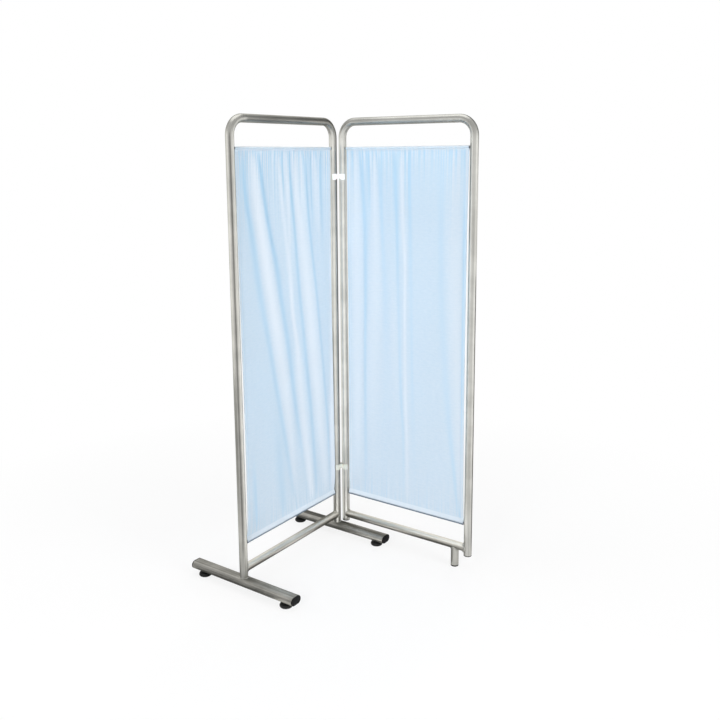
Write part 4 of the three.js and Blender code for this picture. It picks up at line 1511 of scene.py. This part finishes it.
@dataclass
class Studio:
    """Camera, pale floor and soft lamps, and cards that only mirrored light meets, as set up round metal.

    Attributes:
        place: Where the camera stands.
        heading: Its direction, in degrees from the frame's y towards its x.
        tilt: How far it looks down, in degrees.
        roll: How far it's turned about its own axis, in radians.
        lens: Its focal length in millimetres.
        shift: How far the lens is shifted down, as a share of the picture's width.
        aim: The point that the lamps face.
        lamps: Name, place, width and height, power in watts and whether the steel mirrors it, for each lamp.
        standing_cards: Name, x, y and z of a lower and of the opposite upper corner, and level, for each card.
            At level 1 a card is as bright as the white room.
        lying_cards: Name, x and y of two opposite corners, and level.
        slanting_card: Name, x and y of all corners, and level, of one lying card that slants.
        card_height: Height of the lying cards.
        floor_half: Half width of the floor.
        floor_white: Share of plain white in the floor near the screen.
        white_from: Distances from the middle between which that share grows to the whole.
        room_light: Strength of the room's own light on what isn't seen directly.
    """

    place: Triple = (-2.34592, -1.77533, 1.56268)
    heading: float = 55.00365
    tilt: float = 10.0
    roll: float = -0.006636
    lens: float = 41.58878
    shift: float = -0.08216
    aim: Triple = (0.05, 0.0, 0.85)
    lamps: tuple[tuple, ...] = (
        ("left_soft_box", (-4.2, -0.7, 2.0), (1.6, 2.4), 124.0, False),
        ("back_left_soft_box", (-2.6, 3.4, 1.7), (2.4, 2.6), 60.0, False),
        ("front_soft_box", (-0.2, -3.9, 2.2), (1.6, 2.0), 84.0, False),
        ("right_soft_box", (4.0, 0.6, 2.0), (1.6, 2.4), 48.0, False),
        ("overhead_soft_box", (0.2, 0.4, 3.8), (2.4, 2.4), 30.0, True),
    )
    standing_cards: tuple[tuple, ...] = (
        ("top_dark", (1.5, -1.3, 1.62), (1.5, 0.15, 3.4), 0.15),
        ("right", (2.4, -2.4, 0.3), (3.6, 4.2, 4.5), 1.3),
        ("back_left", (-3.2, 0.6, 0.0), (-1.2, 3.4, 2.5), 1.6),
        ("back", (-1.2, 3.4, 0.0), (2.4, 3.8, 2.5), 1.6),
        ("left_low", (-1.35, 0.2, 0.0), (-0.6, 1.6, 0.55), 0.4),
        ("front_dark", (-0.566, 0.057, 0.0), (-0.387, -0.101, 1.7), 0.33),
        ("front_pale", (-1.5, -1.3, 0.0), (0.12, -1.75, 1.9), 1.5),
        ("middle_pale", (-0.2, 0.15, 0.2), (-0.08, -0.22, 1.7), 1.7),
        ("wing_grey", (0.076, -0.519, 0.0), (0.218, -0.648, 1.7), 0.9),
        ("front_white", (0.24, -1.1, 0.0), (0.74, -1.05, 1.8), 1.5),
        ("wing_dark", (0.418, -0.577, 0.0), (0.5, -0.448, 1.1), 0.1),
        ("top_shade", (0.285, 0.02, 1.25), (0.285, -0.4, 1.6), 0.2),
        ("bar_back", (0.42, 0.22, 0.05), (0.4, 0.65, 0.4), 0.1),
        ("between_dark", (0.2789, 0.1641, 0.06), (0.2959, 0.1811, 1.66), 0.25),
        ("between_pale", (0.2795, 0.1635, 0.06), (0.2965, 0.1805, 1.66), 1.3),
    )
    lying_cards: tuple[tuple, ...] = (
        ("rail_floor", (-0.42, 0.12), (0.4, 0.43), 0.2),
        ("rail_front", (-0.42, 0.04), (-0.05, 0.11), 0.3),
        ("bar_floor", (-0.04, 0.05), (0.205, 0.115), 3.6),
        ("bar_edge", (0.21, -0.09), (0.25, 0.115), 0.05),
        ("wing_floor", (0.14, -0.33), (0.4, -0.1), 0.3),
        ("inner_floor", (0.13, -0.09), (0.205, 0.045), 3.6),
        ("outer_floor", (-0.47, -0.09), (-0.355, 0.045), 1.7),
        ("middle_floor", (-0.35, -0.35), (0.12, 0.03), 1.5),
    )
    slanting_card: tuple = ("right_floor", ((0.45, -0.6), (2.0, -2.0), (2.2, -0.9), (0.7, -0.45)), 0.15)
    card_height: float = 0.0005
    floor_half: float = 40.0
    floor_white: float = 0.8
    white_from: Pair = (0.8, 2.1)
    room_light: float = 0.33

    def camera(self) -> None:
        """Sets the camera where the photograph was taken from.

        The view axis is level ahead at the heading, tipped down by the tilt. The two axes across it are
        turned by the roll.
        """
        heading, tilt, roll = math.radians(self.heading), math.radians(self.tilt), self.roll
        ahead = Vector((math.sin(heading) * math.cos(tilt), math.cos(heading) * math.cos(tilt), -math.sin(tilt)))
        right = Vector((math.cos(heading), -math.sin(heading), 0.0))
        up = right.cross(ahead)
        across = right * math.cos(roll) + up * math.sin(roll)
        upwards = up * math.cos(roll) - right * math.sin(roll)
        data = bpy.data.cameras.new("photo_camera")
        data.lens, data.sensor_width, data.shift_y = self.lens, 36.0, self.shift
        camera = bpy.data.objects.new("photo_camera", data)
        turned = Matrix((across, upwards, -ahead)).transposed().to_4x4()
        camera.matrix_world = Matrix.Translation(self.place) @ turned
        bpy.context.scene.collection.objects.link(camera)
        bpy.context.scene.camera = camera

    def lamp(self, name: str, place: Triple, size: Pair, power: float, mirrored: bool) -> None:
        """Adds a soft box that faces the middle of the screen.

        Args:
            name: The lamp's name.
            place: Where it stands.
            size: Its width and height.
            power: Its power in watts.
            mirrored: Whether the steel shows it.
        """
        data = bpy.data.lights.new(name, "AREA")
        data.shape, data.size, data.size_y, data.energy = "RECTANGLE", *size, power
        lamp = bpy.data.objects.new(name, data)
        lamp.location, lamp.rotation_mode, lamp.visible_glossy = place, "QUATERNION", mirrored
        lamp.rotation_quaternion = (Vector(self.aim) - Vector(place)).to_track_quat("-Z", "Y")
        bpy.context.scene.collection.objects.link(lamp)

    @staticmethod
    def plate(name: str, corners: list[Triple], material: Material) -> Object:
        """Adds a flat four-cornered plate that belongs to the room.

        Args:
            name: The plate's name.
            corners: Its corners in order.
            material: Its material.

        Returns:
            The plate's object.
        """
        mesh = bpy.data.meshes.new(name)
        mesh.from_pydata(corners, [], [(0, 1, 2, 3)])
        mesh.materials.append(material)
        plate = bpy.data.objects.new(name, mesh)
        bpy.context.scene.collection.objects.link(plate)
        return plate

    def card(self, name: str, corners: list[Triple], level: float) -> None:
        """Adds a card that only mirrored light meets.

        Args:
            name: The start of the card's name.
            corners: Its corners in order.
            level: How bright it is mirrored, where the white room is 1.
        """
        sketch = NodeSketch(bpy.data.materials.new(f"{name}_card"))
        sketch.surface(sketch.node("Emission", {"Strength": level}).outputs["Emission"])
        card = self.plate(f"{name}_card", corners, sketch.owner)
        for kind in ("camera", "diffuse", "transmission", "volume_scatter", "shadow"):
            setattr(card, f"visible_{kind}", False)

    def world(self) -> None:
        """A white surround for the camera and for mirrored light, and a softer one that lights the screen."""
        world, white = bpy.data.worlds.new("white_room"), (1.0, 1.0, 1.0)
        bpy.context.scene.world = world
        sketch = NodeSketch(world)
        sketch.shade(Color=white, Strength=1.0)
        soft = sketch.node("Background", {"Color": white, "Strength": self.room_light}).outputs["Background"]
        sketch.mix_surface(self.seen_directly(sketch), soft, sketch.shader.outputs["Background"])

    @staticmethod
    def seen_directly(sketch: NodeSketch) -> Socket:
        """1 for what the camera sees, also in metal and through glass.

        Args:
            sketch: The tree to add it to.

        Returns:
            A value socket.
        """
        rays = sketch.node("LightPath").outputs
        seen = sketch.combine("MAXIMUM", rays["Is Camera Ray"], rays["Is Glossy Ray"])
        return sketch.combine("MAXIMUM", seen, rays["Is Transmission Ray"])

    def floor(self) -> None:
        """A wide white floor that keeps the screen's shadow.

        What is seen is part the lit floor and part plain white, and far out it's all white, so that it meets
        the white room without an edge.
        """
        sketch = NodeSketch(bpy.data.materials.new("white_floor"))
        sketch.shade(Base_Color=(0.86, 0.86, 0.86), Roughness=0.9, Specular_IOR_Level=0.0)
        white = sketch.node("Emission").outputs["Emission"]
        place = sketch.node("TexCoord").outputs["Object"]
        away = sketch.node("VectorMath", {0: place}, operation="LENGTH").outputs["Value"]
        plain = sketch.between(away, self.floor_white, 1.0, *self.white_from)
        share = sketch.combine("MULTIPLY", self.seen_directly(sketch), plain)
        sketch.mix_surface(share, sketch.shader.outputs["BSDF"], white)
        half = self.floor_half
        corners = [(-half, -half, 0.0), (half, -half, 0.0), (half, half, 0.0), (-half, half, 0.0)]
        self.plate("studio_floor", corners, sketch.owner)

    def build(self) -> None:
        """Sets up the whole room."""
        self.camera()
        self.world()
        self.floor()
        for lamp in self.lamps:
            self.lamp(*lamp)
        for name, (x, y, low), (to_x, to_y, high), level in self.standing_cards:
            self.card(name, [(x, y, low), (to_x, to_y, low), (to_x, to_y, high), (x, y, high)], level)
        flat_cards = [(name, ((x, y), (to_x, y), (to_x, to_y), (x, to_y)), level)
                      for name, (x, y), (to_x, to_y), level in self.lying_cards]
        for name, corners, level in (*flat_cards, self.slanting_card):
            self.card(name, [(*corner, self.card_height) for corner in corners], level)
        bpy.context.scene.view_settings.view_transform = "Standard"


# The whole screen


class WardScreen:
    """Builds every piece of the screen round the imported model."""

    def __init__(self) -> None:
        """Takes the screen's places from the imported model."""
        self.shelf, self.sizes = FinishShelf(), TubeSizes()
        nodes = ("outer_foot_bar", "inner_foot_bar", "wing_inner_leg_plug", "wing_outer_leg_plug")
        main, inner, wing, wing_outer = (middle_of(node) for node in nodes)
        self.spacing, self.bar_axis = float(inner[0] - main[0]), float(main[2])
        self.main = PanelSpace(main[:2], 0.0, Body.MAIN.value, "main")
        self.wing = PanelSpace(wing[:2], math.radians(-90.0), Body.WING.value, "wing")
        self.clips = PanelSpace(inner[:2], math.radians(-45.0), Body.CLIPS.value, "hinge")
        self.rail_height = float(middle_of("main_bottom_rail")[2])
        self.rods = {level: float(middle_of(f"main_{level}_rod")[2]) for level in ("top", "bottom")}
        LOG.info("legs %.3f m apart, wing's legs %.3f m apart", self.spacing, float(wing[1] - wing_outer[1]))

    def add(self, piece: Piece, slot: Slot, body: str, *nodes: str, own: str = "") -> Object:
        """Builds a piece, dresses it and lets it ride on its body.

        Args:
            piece: What to build.
            slot: Its slot.
            body: The body's name.
            nodes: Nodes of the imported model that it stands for.
            own: Name of a finish of its own, or nothing for the slot's.

        Returns:
            The piece's object.
        """
        made = piece.build()
        self.shelf.dress(made, slot, own)
        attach(made, body)
        if nodes:
            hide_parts(*nodes)
        LOG.info("%s: %d points on %s", made.name, len(made.data.vertices), body)
        return made

    def frames(self) -> None:
        """Arches, rails and their welds on both panels."""
        top, leg_end = float(box_of("main_frame_tube")[1][2]), float(box_of("wing_frame_tube")[0][2])
        common = self.spacing, top, self.rail_height
        main = TubeFrame(self.main, *common, leg_end=self.bar_axis, bar_axis=self.bar_axis, sizes=self.sizes)
        wing = TubeFrame(self.wing, *common, leg_end=leg_end, bar_axis=None, sizes=self.sizes,
                         beads=(0.0024, 0.0042))
        for tubes in (main, wing):
            name, body = tubes.space.name, tubes.space.body
            self.add(tubes.arch(), Slot.TUBE, body, f"{name}_frame_tube", own=f"{name}_arch")
            self.add(tubes.rail(), Slot.TUBE, body, f"{name}_bottom_rail", own="rail")
            self.add(tubes.rail_welds(), Slot.TUBE, body)
        self.add(main.foot_welds(), Slot.TUBE, self.main.body)

    def feet(self) -> None:
        """Foot bars with caps, glides and bolts, and the wing's leg ends."""
        main, wing = self.main.body, self.wing.body
        for name in ("outer", "inner"):
            foot = FootBar(name, self.sizes)
            self.add(foot.bar(), Slot.TUBE, main, f"{name}_foot_bar", own="foot_bar")
            self.add(foot.bolt_head(), Slot.FASTENER, main, f"{name}_foot_bolt")
            for end, side in (("front", -1.0), ("rear", 1.0)):
                self.add(foot.cap(end, side), Slot.CAP, main, f"{name}_{end}_foot_cap")
                glide = f"{name}_{end}_glide"
                centre = np.array([*middle_of(glide)[:2], 0.0])
                self.add(foot.glide(end, centre), Slot.RUBBER, f"{name}_{end}_foot", glide)
        stub_x = float(self.wing.origin[1] - middle_of("wing_stub_foot")[1])
        ends = WingFeet(self.wing, self.rail_height, stub_x, self.sizes)
        for leg in ("inner", "outer"):
            node = f"wing_{leg}_leg_plug"
            self.add(ends.plug(f"wing_{leg}_leg_end_plug", node, flange=0.003), Slot.CAP, wing, node)
        rubber = ends.plug("wing_stub_rubber_foot", "wing_stub_foot", flange=0.005)
        self.add(rubber, Slot.RUBBER, wing, "wing_stub_foot")
        self.add(ends.stub(), Slot.TUBE, wing, "wing_stub_leg")
        self.add(ends.stub_weld(), Slot.TUBE, wing)

    def hinges(self) -> None:
        """Both hinge clips, their edges rounded."""
        for level, slot in (("upper", Slot.WHITE_CLIP), ("lower", Slot.GREY_CLIP)):
            node = f"{level}_hinge_clip"
            clip = HingeClip(f"{level}_snap_clip", node, self.clips)
            clip.soften(self.add(clip.piece(), slot, self.clips.body, node))

    def curtains(self) -> None:
        """Rods and curtains on both panels."""
        main_gathers = Gathers(11, 44, 0.0021, 0.03, 0.16), Gathers(12, 36, 0.0010, 0.02, 0.08)
        wing_gathers = Gathers(21, 44, 0.0016, 0.02, 0.12), Gathers(22, 38, 0.0010, 0.015, 0.07)
        into_leg = 0.005
        first = self.sizes.radii[1] - into_leg
        for space, *plan in ((self.main, MAIN_STRIPS, main_gathers, 1.0, (0.08, 0.32, 0.755)),
                             (self.wing, WING_STRIPS, wing_gathers, -1.0, None)):
            rods = CurtainRods(space, first, self.spacing - first, self.rods)
            names = [self.add(rod, Slot.ROD, space.body, f"{space.name}_{level}_rod").name
                     for level, rod in rods.pieces().items()]
            made, cut = Curtain(space, self.rods, *plan).build()
            self.shelf.dress(made, Slot.CLOTH)
            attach(made, space.body)
            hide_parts(f"{space.name}_curtain")

    def hidden_metal(self) -> None:
        """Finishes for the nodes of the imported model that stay: nuts, stems and rivets."""
        shown = [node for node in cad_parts.values() if not node.hide_render]
        for node in shown:
            self.shelf.dress_node(node, Slot.FASTENER)
        LOG.info("%d nodes of the packed model stay in sight", len(shown))

    def build(self) -> None:
        """Builds the pieces in order."""
        self.frames()
        self.feet()
        self.hinges()
        self.curtains()
        self.hidden_metal()


def main() -> None:
    """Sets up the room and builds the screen."""
    logging.basicConfig(level=logging.INFO, format="%(name)s: %(message)s")
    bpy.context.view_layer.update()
    Studio().build()
    WardScreen().build()
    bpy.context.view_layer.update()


if __name__ == "__main__":
    main()
